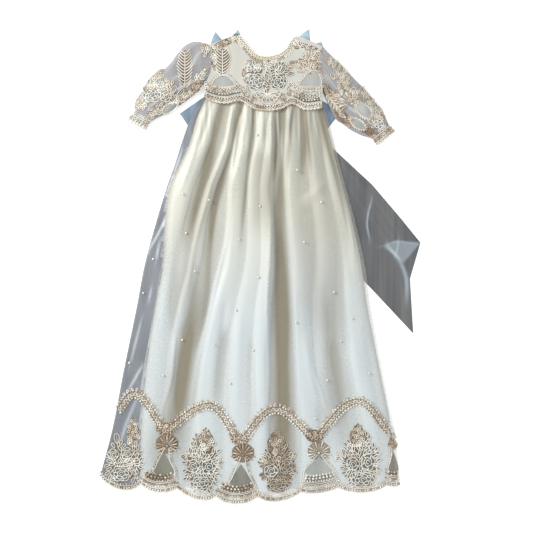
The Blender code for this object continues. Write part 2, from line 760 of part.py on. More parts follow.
def cuff(name, rows):
    """The gathered frill past a sleeve's end, waved along its free edge."""
    end = rows[-1]
    before = rows[-3]
    along = Vector((
        end.top_x + end.low_x - before.top_x - before.low_x,
        end.top_down + end.low_down - before.top_down - before.low_down,
    )).normalized()
    outer = []
    inner = []
    waves = CUFF_WAVES * 2
    for step, spread in CUFF_STEPS:
        shift = along * (CUFF_LONG * step)
        middle = Vector(((end.top_x + end.low_x) / 2, (end.top_down + end.low_down) / 2)) + shift
        half = Vector(((end.low_x - end.top_x) / 2, (end.low_down - end.top_down) / 2)) * spread
        pairs = []
        for wave in range(waves + 1):
            part = CUFF_FRONT * (2 * wave / waves - 1)
            place = middle + half * part
            swing = CUFF_WAVE * step * (1 if wave % 2 else -1)
            rise = max(2 * CLOTH + SEAM, CUFF_HIGH * (1 - CUFF_ROUND * part * part) + swing)
            high = base(place.x, place.y) + rise
            pairs.append((spot(place.x, place.y, high), spot(place.x, place.y, high - CLOTH)))
        pairs.append(cuff_fold(middle, half, 1))
        for part in CUFF_BACK:
            place = middle + half * part
            low = base(place.x, place.y)
            pairs.append((spot(place.x, place.y, low), spot(place.x, place.y, low + CLOTH)))
        pairs.append(cuff_fold(middle, half, -1))
        outer.append([pair[0] for pair in pairs])
        inner.append([pair[1] for pair in pairs])
    return tube(name, outer, inner, CORD)


# Lace, laid on the cloth under it


class Ground:
    """The upper face of a finished solid, read from straight above."""

    def __init__(self, made):
        points = [v.co.copy() for v in made.data.vertices]
        self.tree = BVHTree.FromPolygons(points, [tuple(p.vertices) for p in made.data.polygons])

    def high(self, x, down):
        start = spot(x, down, RAY_FROM)
        found = self.tree.ray_cast(start, Vector((0, 0, -1)))[0]
        return None if found is None else found.z / MM

    def near(self, x, down):
        """The face's height at a place, or just inside its edge where the place is past it."""
        reach = 0.0
        while True:
            for step in range(SEARCH_TURNS):
                turn = 2 * math.pi * step / SEARCH_TURNS
                found = self.high(x + reach * math.cos(turn), down + reach * math.sin(turn))
                if found is not None:
                    return found
            reach += SEARCH_STEP

    def settle(self, plan, faces):
        """Heights at which a thin sheet through the plan points just clears this face everywhere."""
        heights = [self.near(x, down) + SEAM for x, down in plan]
        parts = range(TEST_PARTS + 1)
        tests = [(i / TEST_PARTS, j / TEST_PARTS) for i in parts for j in parts if i + j <= TEST_PARTS]
        for _ in range(SETTLE_ROUNDS):
            lifts = [0] * len(plan)
            for face in faces:
                for one, two in tests:
                    weights = (one, two, 1 - one - two)
                    x = sum(w * plan[i][0] for w, i in zip(weights, face))
                    down = sum(w * plan[i][1] for w, i in zip(weights, face))
                    found = self.high(x, down)
                    if found is None:
                        continue
                    short = found + SEAM - sum(w * heights[i] for w, i in zip(weights, face))
                    for i in face:
                        lifts[i] = max(lifts[i], short)
            heights = [high + lift for high, lift in zip(heights, lifts)]
        return heights


def lace_motif(motif, ground):
    """A lace spray: an outline with round lobes, raised in two steps towards its middle."""
    spokes = MOTIF_SPOKES
    plan = []
    lifts = []
    for share, lift in MOTIF_RINGS:
        for spoke in range(spokes):
            turn = 2 * math.pi * spoke / spokes
            reach = share * (1 + LOBE_DEPTH * math.cos(motif.lobes * turn))
            x = motif.x + motif.half_wide * reach * math.sin(turn)
            plan.append((x, motif.down - motif.half_long * reach * math.cos(turn)))
            lifts.append(LACE + lift)
    plan.append((motif.x, motif.down))
    lifts.append(lifts[-1])
    below = len(plan)
    middle = below - 1
    inmost = middle - spokes
    lower = [tuple(reversed(f)) for f in patch_faces(0, len(MOTIF_RINGS), spokes, True)]
    lower += [(inmost + i, inmost + (i + 1) % spokes, middle) for i in range(spokes)]
    lows = ground.settle(plan, lower)
    points = [spot(x, down, low) for (x, down), low in zip(plan, lows)]
    points += [spot(x, down, low + lift) for (x, down), low, lift in zip(plan, lows, lifts)]
    faces = lower + [tuple(below + i for i in reversed(face)) for face in lower]
    for spoke in range(spokes):
        after = (spoke + 1) % spokes
        faces += [(spoke, after, after + below), (spoke, after + below, spoke + below)]
    return solid(motif.name, points, faces, CORD)


def lace_band(name, route, wide, ground, crown=BAND_CROWN):
    """A corded band along a route, with its middle a little higher than its edges."""
    plan = []
    for index, (x, down) in enumerate(route):
        ahead = route[min(index + 1, len(route) - 1)]
        behind = route[max(index - 1, 0)]
        along = Vector((ahead[0] - behind[0], ahead[1] - behind[1])).normalized()
        side = Vector((-along.y, along.x)) * (wide / 2)
        plan += [(x - side.x, down - side.y), (x, down), (x + side.x, down + side.y)]
    lows = ground.settle(plan, patch_faces(0, len(route), 3))
    rings = []
    for first in range(0, len(plan), 3):
        ring = [spot(*plan[i], lows[i]) for i in range(first, first + 3)]
        lifts = (LACE, LACE + crown, LACE)
        ring += [spot(*plan[first + i], lows[first + i] + lifts[i]) for i in (2, 1, 0)]
        rings.append(ring)
    return rod(name, rings, CORD)


def garland_route():
    """The line of the arches: up to each peak and down again in soft curves."""
    route = []
    for arch in GARLAND:
        for step in range(GARLAND_STEPS):
            share = step / GARLAND_STEPS
            rising = share < 0.5
            part = share * 2 if rising else 2 - share * 2
            soft = part * part * (3 - 2 * part)
            start = arch.left_down if rising else arch.right_down
            down = start + (arch.peak_down - start) * soft
            near = arch.left if rising else arch.right
            route.append((near + (arch.peak - near) * part, down))
    route.append((GARLAND[-1].right, GARLAND[-1].right_down))
    return route


def hem_route():
    """The scalloped edge, a little inside it."""
    starts = [s.left for s in SCALLOPS] + [HEM_RIGHT[0]]
    xs = []
    for scallop, after in zip(SCALLOPS, starts[1:]):
        cells = scallop.cells + 2
        xs += [scallop.left + (after - scallop.left) * cell / cells for cell in range(cells)]
    xs = [x for x in xs if x > SCALLOPS[0].left + EDGING_INSET] + [HEM_RIGHT[0] - EDGING_INSET]
    return [(x, hem_edge(x) - EDGING_INSET) for x in xs]


def neck_route():
    return [(x, edge_read(BODICE_UPPER, x) + NECK_INSET) for x in NECK_PLACES]


def waist_route():
    low = BODICE_LOWER[0].x + WAIST_ENDS
    high = BODICE_LOWER[-1].x - WAIST_ENDS
    xs = [low + (high - low) * i / WAIST_STEPS for i in range(WAIST_STEPS + 1)]
    return [(x, edge_read(BODICE_LOWER, x) - WAIST_INSET) for x in xs]


# Ribbons


def across(row, part):
    """Plan place on a ribbon's row, from its left end to its right."""
    x = row.left_x + part * (row.right_x - row.left_x)
    return x, row.left_down + part * (row.right_down - row.left_down)


def ribbon(name, rows):
    """A flat ribbon through rows across it, over whatever loops lie under it."""
    upper = []
    lower = []
    for index in range((len(rows) - 1) * RIBBON_STEPS + 1):
        first = min(index // RIBBON_STEPS, len(rows) - 2)
        share = index / RIBBON_STEPS - first
        row = SashRow(*(a + share * (b - a) for a, b in zip(rows[first], rows[first + 1])))
        spots = [across(row, part) for part in RIBBON_PARTS]
        upper.append([spot(x, down, loop_cover(x, down) + CLOTH) for x, down in spots])
        lower.append([spot(x, down, loop_cover(x, down)) for x, down in spots])
    return plate(name, upper, lower, SASH_GREY)


def sash_loop(name, rows):
    """A ribbon from the knot to the loop's end and back over itself, pressed flat."""
    passes = [(row, 0.0, CLOTH) for row in rows]
    passes += [(row, LOOP_HIGH, LOOP_HIGH - CLOTH) for row in reversed(rows)]
    rings = []
    for part in LOOP_PARTS:
        ring = []
        for row, outside, _ in passes:
            x, down = across(row, part)
            ring.append(spot(x, down, outside))
        for row, _, inside in reversed(passes):
            short = LOOP_INNER if row is rows[-1] else 1.0
            x, down = across(row, part)
            x = KNOT[0] + (x - KNOT[0]) * short
            down = KNOT[1] + (down - KNOT[1]) * short
            ring.append(spot(x, down, inside))
        rings.append(ring)
    return folded(name, rings)


def folded(name, rings):
    """A folded strip: rings run from one long edge to the other, each round the whole fold."""
    around = len(rings[0])
    half = around // 2
    points = [p for ring in rings for p in ring]
    faces = patch_faces(0, len(rings), around, True)
    for ring in (0, len(rings) - 1):
        start = ring * around
        for i in range(half - 1):
            a = start + i
            b = start + i + 1
            c = start + around - 2 - i
            d = start + around - 1 - i
            faces += [(a, b, c), (a, c, d)]
    return solid(name, points, faces, SASH_GREY)


def bow_loop(loop):
    """A small flattened loop: three corners in plan, narrow at the knot."""
    knot = Vector((loop.knot_x, loop.knot_down))
    end = Vector((loop.end_x, loop.end_down))
    tip = Vector((loop.tip_x, loop.tip_down))
    waist = (tip - end).normalized() * BOW_WAIST_HALF
    rings = []
    for share, high in BOW_RINGS:
        low_side = (knot - waist) * (1 - share) + end * share
        top_side = (knot + waist) * (1 - share) + tip * share
        middle = (low_side + top_side) / 2
        edge = high * BOW_EDGE
        rings.append([
            spot(low_side.x, low_side.y, 0), spot(middle.x, middle.y, 0),
            spot(top_side.x, top_side.y, 0), spot(top_side.x, top_side.y, edge),
            spot(middle.x, middle.y, high), spot(low_side.x, low_side.y, edge),
        ])
    return rod(loop.name, rings, BOW_BLUE)


def knot(name, x, down, half_x, half_down, high, colour):
    """A wrapped knot: a low block with its upper edges rounded off."""
    rings = []
    for level, inset in KNOT_LEVELS:
        ring = []
        for step in range(KNOT_SIDES):
            turn = 2 * math.pi * step / KNOT_SIDES
            wide = math.copysign(abs(math.cos(turn)) ** KNOT_SQUARE, math.cos(turn))
            deep = math.copysign(abs(math.sin(turn)) ** KNOT_SQUARE, math.sin(turn))
            reach_x = (half_x - inset) * wide
            reach_down = (half_down - inset) * deep
            ring.append(spot(x + reach_x, down + reach_down, high * level))
        rings.append(ring)
    return rod(name, rings, colour)


def build():
    for old in list(bpy.data.objects):
        bpy.data.objects.remove(old)
    lining()
    net = Ground(overlay())
    front = Ground(bodice_front())
    middle = BODICE_PLACES.index(BACK_MIDDLE)
    bodice_back("bodice_back_left", BODICE_PLACES[:middle] + (BACK_MIDDLE - BACK_SPLIT,))
    bodice_back("bodice_back_right", (BACK_MIDDLE + BACK_SPLIT,) + BODICE_PLACES[middle + 1:])
    sleeve("sleeve_left", SLEEVE_LEFT)
    sleeve("sleeve_right", SLEEVE_RIGHT)
    cuff("cuff_left", SLEEVE_LEFT)
    cuff("cuff_right", SLEEVE_RIGHT)
    lace_band("hem_garland", garland_route(), GARLAND_WIDE, net)
    lace_band("hem_edging", hem_route(), EDGING_WIDE, net, EDGING_CROWN)
    lace_band("neck_trim", neck_route(), NECK_WIDE, front)
    lace_band("bodice_edging", waist_route(), WAIST_WIDE, front)
    for motif in BOUQUETS + FANS:
        lace_motif(motif, net)
    for motif in BODICE_MOTIFS:
        lace_motif(motif, front)
    knot_down = KNOT[1] + KNOT_DROP
    knot("sash_knot", KNOT[0], knot_down, KNOT_LONG / 2, KNOT_WIDE / 2, KNOT_HIGH, SASH_GREY)
    sash_loop("sash_loop_left", LOOP_LEFT)
    sash_loop("sash_loop_right", LOOP_RIGHT)
    ribbon("sash_tail_right", TAIL_RIGHT)
    ribbon("sash_tail_left", TAIL_LEFT)
    ribbon("sash_band_left", BAND_LEFT)
    ribbon("sash_band_right", BAND_RIGHT)
    for loop in BOW_LOOPS:
        bow_loop(loop)
    for name, x, down in BOW_KNOTS:
        knot(name, x, down, BOW_KNOT_HALF, BOW_KNOT_HALF, BOW_HIGH, BOW_BLUE)


build()
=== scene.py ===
import math
from collections import namedtuple

import bpy
import numpy as np
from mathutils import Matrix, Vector
from mathutils.bvhtree import BVHTree


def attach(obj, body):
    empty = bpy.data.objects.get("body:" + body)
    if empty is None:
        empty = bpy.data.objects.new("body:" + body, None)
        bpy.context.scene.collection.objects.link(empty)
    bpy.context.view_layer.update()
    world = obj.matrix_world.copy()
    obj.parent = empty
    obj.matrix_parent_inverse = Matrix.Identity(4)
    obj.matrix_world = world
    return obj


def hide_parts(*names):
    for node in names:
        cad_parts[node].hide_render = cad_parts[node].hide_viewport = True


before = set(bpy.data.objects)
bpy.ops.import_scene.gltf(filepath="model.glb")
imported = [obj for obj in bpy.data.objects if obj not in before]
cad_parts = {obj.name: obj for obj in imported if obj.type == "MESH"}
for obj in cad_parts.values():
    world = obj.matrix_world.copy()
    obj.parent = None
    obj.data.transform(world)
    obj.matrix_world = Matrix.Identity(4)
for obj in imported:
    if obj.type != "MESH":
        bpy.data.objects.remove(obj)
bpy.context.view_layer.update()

# Plan sizes are in millimetres on the gown, as in the part: x from the centre front to the right,
# "down" from the waist seam to the hem, and heights above the floor.
MM = 0.001
CENTRE_X = -8.0
CENTRE_DOWN = 324.0
PIXEL = 1.95
PIXEL_X = 264.0
PIXEL_DOWN = 100.0
SEAM = 0.3
CLOTH = 1.0
SEED = 7


def rows_of(kind, rows):
    """Rows of plain values as named tuples of one kind."""
    return tuple(kind(*row) for row in rows)


# Sash and bows under the gown
LOOP_HIGH = 2.3
LOOP_COVER = LOOP_HIGH + SEAM
LOOP_SHRINK = 0.985
KNOT_HIGH = LOOP_COVER + CLOTH
KNOT = (-12.0, -14.0)
KNOT_LONG = 24.0
KNOT_WIDE = 19.0
COVER_MARGIN = 26.0
COVER_SLOPE = 90.0
STRAP_COVER = CLOTH + 2 * SEAM
# Rows across a ribbon, from its root to its end: where its left and right edge lie
SashRow = namedtuple("SashRow", "left_x left_down right_x right_down")
LOOP_LEFT = rows_of(SashRow, (
    (-26, -17, -25, -8),
    (-70, -28, -60, 28),
    (-121, -5, -90, 66),
    (-165, 26, -108, 110),
))
LOOP_RIGHT = rows_of(SashRow, (
    (2, -17, 1, -8),
    (48, -28, 38, 28),
    (100, -8, 68, 60),
    (150, 22, 92, 100),
))
TAIL_RIGHT = rows_of(SashRow, (
    (-5, -3, -13, -3),
    (34, 14, -8, 52),
    (70, 45, 4, 122),
    (128, 88, 33, 178),
    (211, 164, 116, 262),
    (268, 231, 176, 332),
    (306, 278, 292, 456),
))
TAIL_LEFT = rows_of(SashRow, (
    (-14, -3, -22, -3),
    (-14, 55, -52, 52),
    (-8, 112, -86, 109),
    (-6, 170, -112, 165),
    (-12, 245, -140, 240),
    (-40, 400, -160, 360),
))
BAND_LEFT = rows_of(SashRow, ((-25, -22, -25, -18), (-70, -26, -70, -2), (-108, -26, -108, -4)))
BAND_RIGHT = rows_of(SashRow, ((1, -22, 1, -18), (50, -26, 50, -2), (105, -26, 105, -4)))
# A bow's loop opens from its knot to two corners, its end and its tip
BowLoop = namedtuple("BowLoop", "name knot_x knot_down end_x end_down tip_x tip_down")
BOW_LOOPS = rows_of(BowLoop, (
    ("bow_left_loop_outer", -80, -112, -105, -108, -95, -135),
    ("bow_left_loop_inner", -68, -114, -44, -117, -51, -139),
    ("bow_right_loop_inner", 88, -110, 68, -124, 89, -140),
    ("bow_right_loop_outer", 98, -107, 116, -98, 112, -115),
))
BOW_KNOTS = (("bow_left_knot", -74, -112), ("bow_right_knot", 93, -106))
BOW_HIGH = 2.6
BOW_MARGIN = 9.0
BOW_SLOPE = 34.0

# Skirt
SKIRT_TOP = -12.0
EDGE_ROUND = 1.6
LINING_SHORT = 6.0
STRIP_SLOPE = 0.35
COOL_FROM = 180.0
COOL_LONG = 280.0
SATIN_LIFT = 2.8
SATIN_RISE = 7.4
NET_GAP = 0.5
# Side edges of net and satin at levels down from the waist
SkirtRow = namedtuple("SkirtRow", "down net_left satin_left satin_right net_right")
SKIRT = rows_of(SkirtRow, (
    (-12, -113, -107, 106, 112),
    (4, -124, -117, 110, 115),
    (35, -143, -131, 119, 124),
    (84, -161, -145, 132, 137),
    (125, -174, -164, 142, 147),
    (170, -190, -184, 154, 160),
    (235, -210, -193, 172, 178),
    (320, -233, -198, 190, 197),
    (404, -249, -213, 202, 209),
    (526, -274, -231, 226, 233),
    (640, -296, -241, 248, 255),
    (740, -322, -243, 258, 265),
))
# Scallops of the hem: the notch at the left of each, and how deep its arc hangs
Scallop = namedtuple("Scallop", "left down depth")
SCALLOPS = rows_of(Scallop, (
    (-322, 731, 20),
    (-241, 748, 15),
    (-170, 755, 15),
    (-94, 772, 15),
    (-12, 772, 15),
    (72, 763, 8),
    (146, 755, 14),
    (240, 751, 3),
))
HEM_RIGHT = (265.0, 752.0)
# Folds of the front, as places across the satin from 0 to 1 and rises from 0 to 1 at five levels,
# and how far each reaches to its left and right
FOLD_DOWNS = (-12, 110, 260, 500, 740)
Fold = namedtuple("Fold", "places left right rises")
FOLDS = rows_of(Fold, (
    ((0.10, 0.11, 0.07, 0.05, 0.06), 0.10, 0.06, (0.1, 0.8, 0.5, 0.3, 0.2)),
    ((0.26, 0.265, 0.18, 0.11, 0.13), 0.03, 0.05, (0.1, 0.8, 0.5, 0.4, 0.3)),
    ((0.37, 0.38, 0.36, 0.26, 0.23), 0.04, 0.10, (0.1, 0.9, 1.0, 0.8, 0.5)),
    ((0.50, 0.49, 0.47, 0.39, 0.38), 0.06, 0.09, (0.1, 0.6, 0.5, 0.6, 0.4)),
    ((0.575, 0.57, 0.55, 0.505, 0.49), 0.07, 0.03, (0.1, 0.9, 1.0, 0.9, 0.6)),
    ((0.64, 0.635, 0.61, 0.58, 0.56), 0.03, 0.03, (0.1, 0.5, 0.2, 0.1, 0.1)),
    ((0.72, 0.71, 0.68, 0.67, 0.65), 0.03, 0.08, (0.1, 0.9, 1.0, 0.9, 0.6)),
    ((0.87, 0.87, 0.84, 0.77, 0.78), 0.06, 0.06, (0.1, 0.8, 0.7, 0.5, 0.4)),
    ((0.97, 0.96, 0.95, 0.91, 0.91), 0.04, 0.07, (0.1, 0.6, 0.5, 0.6, 0.4)),
))

# Creases of the skirt, each a line of pixel places from its top down. A ridge is high and a trough is
# below zero; wide is its half width in millimetres.
Crease = namedtuple("Crease", "high wide line")
CREASES = rows_of(Crease, (
    (-2.6, 12, ((226, 103), (216, 140), (203, 175), (193, 208), (180, 241), (172, 300), (170, 340))),
    (1.6, 4, ((234, 106), (225, 146), (214, 177), (207, 201), (200, 224), (192, 258), (187, 300))),
    (-2.2, 8, ((241, 103), (233, 134), (223, 176), (213, 210), (208, 245), (205, 300), (196, 350))),
    (1.8, 4, ((240, 118), (234, 155), (230, 205), (226, 243), (213, 297), (197, 368), (189, 428))),
    (-1.8, 8, ((254, 103), (253, 140), (246, 168), (244, 208), (240, 236))),
    (1.4, 4, ((264, 106), (263, 124), (261, 142))),
    (-1.5, 4, ((271, 108), (267, 128), (266, 150))),
    (2.2, 4, ((272, 106), (272, 160), (272, 224), (270, 256), (268, 299), (269, 370), (268, 420))),
    (-2.6, 9, ((281, 104), (279, 150), (279, 220), (281, 280), (283, 360), (284, 420), (284, 455))),
    (1.0, 2.5, ((278, 104), (278, 140), (277, 176))),
    (1.0, 2.5, ((284, 104), (283, 132), (283, 166))),
    (2.0, 4, ((292, 104), (287, 140), (286, 176), (288, 206), (291, 252), (298, 370), (299, 470))),
    (-1.7, 5, ((303, 106), (304, 144), (302, 176))),
    (1.2, 4, ((308, 106), (311, 140), (316, 176))),
    (-2.4, 7, ((318, 104), (325, 140), (333, 172), (341, 212), (346, 240), (352, 280))),
    (1.3, 4, ((324, 106), (333, 140), (341, 176), (349, 216), (356, 262))),
    (1.6, 9, ((326, 185), (312, 196), (300, 204))),
    (1.4, 5, ((205, 110), (199, 135), (189, 168), (178, 200))),
    (-1.4, 5, ((211, 104), (206, 126), (198, 150))),
    (-1.1, 11, ((200, 262), (192, 305), (186, 350))),
    (-1.8, 15, ((187, 325), (181, 372), (175, 400), (168, 432))),
    (1.6, 3, ((175, 340), (171, 380), (164, 404), (160, 425))),
    (-1.2, 7, ((226, 300), (220, 350), (214, 400))),
    (1.6, 8, ((306, 340), (312, 380), (322, 413))),
    (1.3, 3, ((314, 372), (321, 392), (327, 412))),
    (-1.0, 10, ((326, 290), (330, 335), (334, 372))),
    (-1.6, 14, ((331, 345), (335, 385), (340, 424))),
    (1.4, 14, ((352, 350), (364, 388), (374, 420))),
    (0.9, 8, ((240, 320), (238, 380), (236, 430))),
    (-0.9, 8, ((252, 340), (254, 390), (256, 430))),
    (-1.1, 4, ((224, 106), (218, 122), (214, 134))),
    (1.0, 3, ((247, 105), (246, 124), (243, 140))),
    (-0.8, 2.5, ((259, 106), (258, 120), (256, 132))),
    (-0.9, 3, ((297, 106), (297, 124), (298, 138))),
    (1.0, 3, ((313, 106), (316, 124), (320, 142))),
))
NET_CREASES = rows_of(Crease, (
    (1.6, 2.5, ((168, 214), (158, 234), (148, 252))),
    (1.4, 2.5, ((151, 290), (139, 330), (128, 372))),
    (1.8, 2.2, ((142, 366), (132, 384), (124, 396))),
    (-1.2, 5, ((156, 262), (147, 300), (140, 340))),
    (1.2, 3, ((160, 240), (153, 276), (148, 310))),
    (1.2, 3, ((136, 400), (126, 425), (118, 450))),
    (-1.0, 4, ((128, 385), (118, 415), (110, 445))),
    (1.0, 2.2, ((182, 150), (172, 180), (165, 206))),
))

# Painted shade in the satin's valleys and recesses, as depths from 0 to 1 along the same kind of lines,
# that darken and warm its colour. The low ones start softly over SHADE_HEAD and broaden on their way down.
SHADE_HEAD = 240.0
SHADE_WIDEN = 0.8
LOW_PAINTED_SHADES = rows_of(Crease, (
    (0.80, 23, ((195, 300), (189, 335), (183, 372), (178, 404), (168, 440), (160, 480))),
    (0.84, 21, ((281, 270), (281, 350), (282, 400), (282, 440), (281, 490))),
    (0.38, 25, ((327, 310), (333, 388), (337, 425), (340, 456))),
))
PAINTED_SHADES = rows_of(Crease, (
    (0.54, 13, ((280, 100), (279, 150), (279, 220), (281, 262), (284, 360))),
    (0.30, 13, ((211, 150), (206, 197), (196, 236), (187, 284), (178, 336))),
    (0.62, 8.5, ((223, 100), (214, 138), (208, 160), (201, 185), (194, 212), (187, 250))),
    (0.40, 8, ((224, 176), (215, 205), (210, 242), (206, 300), (198, 350))),
    (0.62, 5.5, ((241, 100), (234, 138), (226, 165), (219, 186), (213, 216), (210, 250))),
    (0.75, 4, ((254, 100), (251, 140), (247, 172), (244, 208), (240, 250))),
    (0.60, 3.5, ((293, 100), (290, 139), (288, 172))),
    (0.60, 4, ((305, 102), (308, 139), (311, 172))),
    (0.56, 4.5, ((319, 102), (326, 139), (335, 172), (344, 212), (350, 250))),
    (0.34, 48, ((312, 100), (316, 190), (322, 290), (326, 350))),
    (0.42, 22, ((262, 150), (262, 190), (260, 235))),
    (0.35, 9, ((224, 330), (219, 370), (214, 410))),
    (0.30, 7, ((302, 104), (304, 140), (302, 176))),
    (0.30, 4, ((242, 102), (239, 120), (236, 140))),
    (0.25, 5, ((270, 102), (267, 124), (266, 146))),
))

# Bodice
EdgePoint = namedtuple("EdgePoint", "x down")
BODICE_LOWER = rows_of(EdgePoint, (
    (-117, -10), (-108, 0), (-76, 7), (-46, 2), (-20, 17), (8, 21), (34, 17), (55, 8), (80, 19),
    (113, 16),
))
BODICE_UPPER = rows_of(EdgePoint, (
    (-106, -109), (-82, -118), (-50, -128), (-41, -119), (-31, -105), (-16, -90), (8, -86), (31, -92),
    (47, -103), (56, -118), (64, -125), (90, -116), (114, -105),
))
SIDE_LEFT = rows_of(EdgePoint, (
    (-106, -109), (-102, -77), (-104, -56), (-112, -36), (-117, -10),
))
SIDE_RIGHT = rows_of(EdgePoint, (
    (114, -105), (109, -84), (110, -60), (114, -40), (113, 16),
))
SIDE_REACH = 0.12
ARMHOLE_SEAM = 0.7
BODICE_LIFT = 7.5
BODICE_LOW = 2.1
BODICE_CLOTH = 1.3

# Sleeves
# Rows from a sleeve's head to its cuff: its two edges, how far its middle bulges out, and its height
SleeveRow = namedtuple("SleeveRow", "top_x top_down low_x low_down bulge high")
SLEEVE_LEFT = rows_of(SleeveRow, (
    (-106, -109, -113, -38, 0, 4.6),
    (-133, -115, -121, -31, 6, 6.4),
    (-152, -109, -129, -17, 0, 6.0),
    (-168, -93, -142, -6, 0, 5.8),
    (-183, -73, -158, 6, 0, 5.6),
    (-203, -53, -174, 16, 0, 5.4),
    (-220, -31, -189, 26, 0, 5.2),
    (-235, -8, -205, 33, 0, 5.0),
    (-247, 11, -216, 39, 0, 4.8),
    (-257, 28, -224, 45, 0, 4.4),
))
SLEEVE_RIGHT = rows_of(SleeveRow, (
    (114, -105, 115, -15, 0, 4.6),
    (131, -88, 127, 11, -4, 6.2),
    (148, -70, 140, 37, 0, 6.0),
    (164, -55, 154, 47, 0, 5.8),
    (179, -39, 167, 57, 0, 5.6),
    (195, -23, 180, 64, 0, 5.4),
    (211, -2, 191, 69, 0, 5.2),
    (226, 20, 199, 71, 0, 5.0),
    (238, 35, 205, 73, 0, 4.8),
    (244, 50, 213, 76, 0, 4.4),
))
# The sleeve's height across it, as shares of a row's height at parts of the way over
SLEEVE_PARTS = (0, 0.04, 0.18, 0.34, 0.5, 0.66, 0.82, 0.96, 1)
SLEEVE_SHAPE = (0.25, 0.6, 0.9, 1.0, 1.0, 0.92, 0.72, 0.6, 0.25)
SLEEVE_CREASES = rows_of(Crease, (
    (1.8, 3, ((209, 74), (190, 83), (170, 94), (150, 107))),
    (-1.4, 3, ((208, 79), (190, 90), (172, 101), (152, 112))),
    (1.2, 4, ((205, 48), (196, 58), (190, 72))),
    (-1.0, 5, ((200, 46), (188, 56), (180, 70))),
    (0.9, 3, ((196, 62), (186, 72), (172, 80))),
    (1.8, 3, ((325, 86), (350, 108), (368, 119), (382, 128))),
    (-1.4, 3, ((325, 92), (346, 113), (362, 124), (374, 131))),
    (1.2, 4, ((330, 58), (338, 72), (340, 88))),
    (-1.0, 5, ((336, 60), (348, 76), (352, 92))),
    (0.9, 3, ((326, 76), (340, 92), (356, 104))),
))
CUFF_LONG = 14.0

# Garland of the hem lace, and its cords: half its width, and their swing and pitch
GARLAND_HALF = 6.0
CORD_SWING = 3.2
CORD_PITCH = 12.5
Arch = namedtuple("Arch", "left left_down peak peak_down right right_down")
GARLAND = rows_of(Arch, (
    (-284, 602, -254, 571, -193, 645),
    (-193, 645, -107, 593, -47, 665),
    (-47, 665, 21, 601, 99, 659),
    (99, 659, 183, 585, 246, 647),
))


# Curves and plan helpers


def curve(places, values, at):
    """The smooth curve through the values at the places, read at many places at once."""
    places = np.asarray(places, float)
    values = np.asarray(values, float)
    at = np.clip(at, places[0], places[-1])
    right = np.clip(np.searchsorted(places, at, side="right"), 1, len(places) - 1)
    left = right - 1
    span = places[right] - places[left]
    share = (at - places[left]) / span

    def slope(i):
        low = np.maximum(i - 1, 0)
        high = np.minimum(i + 1, len(places) - 1)
        return (values[high] - values[low]) / (places[high] - places[low]) * span

    square = share * share
    cube = square * share
    start = (2 * cube - 3 * square + 1) * values[left] + (cube - 2 * square + share) * slope(left)
    return start + (3 * square - 2 * cube) * values[right] + (cube - square) * slope(right)


def smooth(share):
    share = np.clip(share, 0, 1)
    return share * share * (3 - 2 * share)


def edge_read(edge, x):
    return curve([p.x for p in edge], [p.down for p in edge], x)


def side_read(side, down):
    return curve([p.down for p in side], [p.x for p in side], down)


def place_of(pixel_x, pixel_y):
    return (pixel_x - PIXEL_X) * PIXEL, (pixel_y - PIXEL_DOWN) * PIXEL


def spots(x, down, high):
    """Points of the gown in the part's own frame, in metres, as rows of an array."""
    x, down, high = np.broadcast_arrays(x, down, high)
    return np.stack([x - CENTRE_X, CENTRE_DOWN - down, high], axis=-1).reshape(-1, 3) * MM


def line_distance(x, down, start, end):
    along_x = end[0] - start[0]
    along_down = end[1] - start[1]
    share = ((x - start[0]) * along_x + (down - start[1]) * along_down) / (along_x ** 2 + along_down ** 2)
    share = np.clip(share, 0, 1)
    return np.hypot(x - start[0] - share * along_x, down - start[1] - share * along_down)


def ribbon_cover(x, down, rows, high):
    """How high a ribbon lifts the cloth: level over it, then sloping off."""
    nearest = np.full(np.shape(x), 1e9)
    for row in rows:
        ends = ((row.left_x, row.left_down), (row.right_x, row.right_down))
        nearest = np.minimum(nearest, line_distance(x, down, *ends))
    for a, b in zip(rows, rows[1:]):
        corners = (
            (a.left_x, a.left_down), (a.right_x, a.right_down),
            (b.right_x, b.right_down), (b.left_x, b.left_down),
        )
        turns = []
        for start, end in zip(corners, corners[1:] + corners[:1]):
            turns.append((end[0] - start[0]) * (down - start[1]) > (end[1] - start[1]) * (x - start[0]))
        within = np.all(turns, axis=0) | ~np.any(turns, axis=0)
        nearest = np.where(within, 0, nearest)
        nearest = np.minimum(nearest, line_distance(x, down, corners[0], corners[3]))
        nearest = np.minimum(nearest, line_distance(x, down, corners[1], corners[2]))
    return high * (1 - smooth((nearest - COVER_MARGIN) / COVER_SLOPE))


def loop_cover(x, down):
    covers = [ribbon_cover(x, down, rows, LOOP_COVER) for rows in (LOOP_LEFT, LOOP_RIGHT)]
    return np.maximum(*covers)


def base(x, down):
    """Height of the gown's underside: on the floor but for the sash and bows under it."""
    x, down = np.broadcast_arrays(np.asarray(x, float), np.asarray(down, float))
    straps = np.zeros(x.shape)
    for rows in (TAIL_LEFT, TAIL_RIGHT, BAND_LEFT, BAND_RIGHT, LOOP_LEFT, LOOP_RIGHT):
        straps = np.maximum(straps, ribbon_cover(x, down, rows, STRAP_COVER))
    nearest = np.full(x.shape, 1e9)
    for b in BOW_LOOPS:
        ends = ((b.knot_x, b.knot_down), (b.end_x, b.end_down))
        nearest = np.minimum(nearest, line_distance(x, down, *ends))
    bows = (BOW_HIGH + SEAM) * (1 - smooth((nearest - BOW_MARGIN) / BOW_SLOPE))
    return np.maximum(loop_cover(x, down) + straps, bows)


def skirt_edge(column, down):
    return curve([r.down for r in SKIRT], [getattr(r, column) for r in SKIRT], down)


HEM_PLACES = [s.left for s in SCALLOPS] + [HEM_RIGHT[0]]


def hem_notch(x):
    return curve(HEM_PLACES, [s.down for s in SCALLOPS] + [HEM_RIGHT[1]], x)


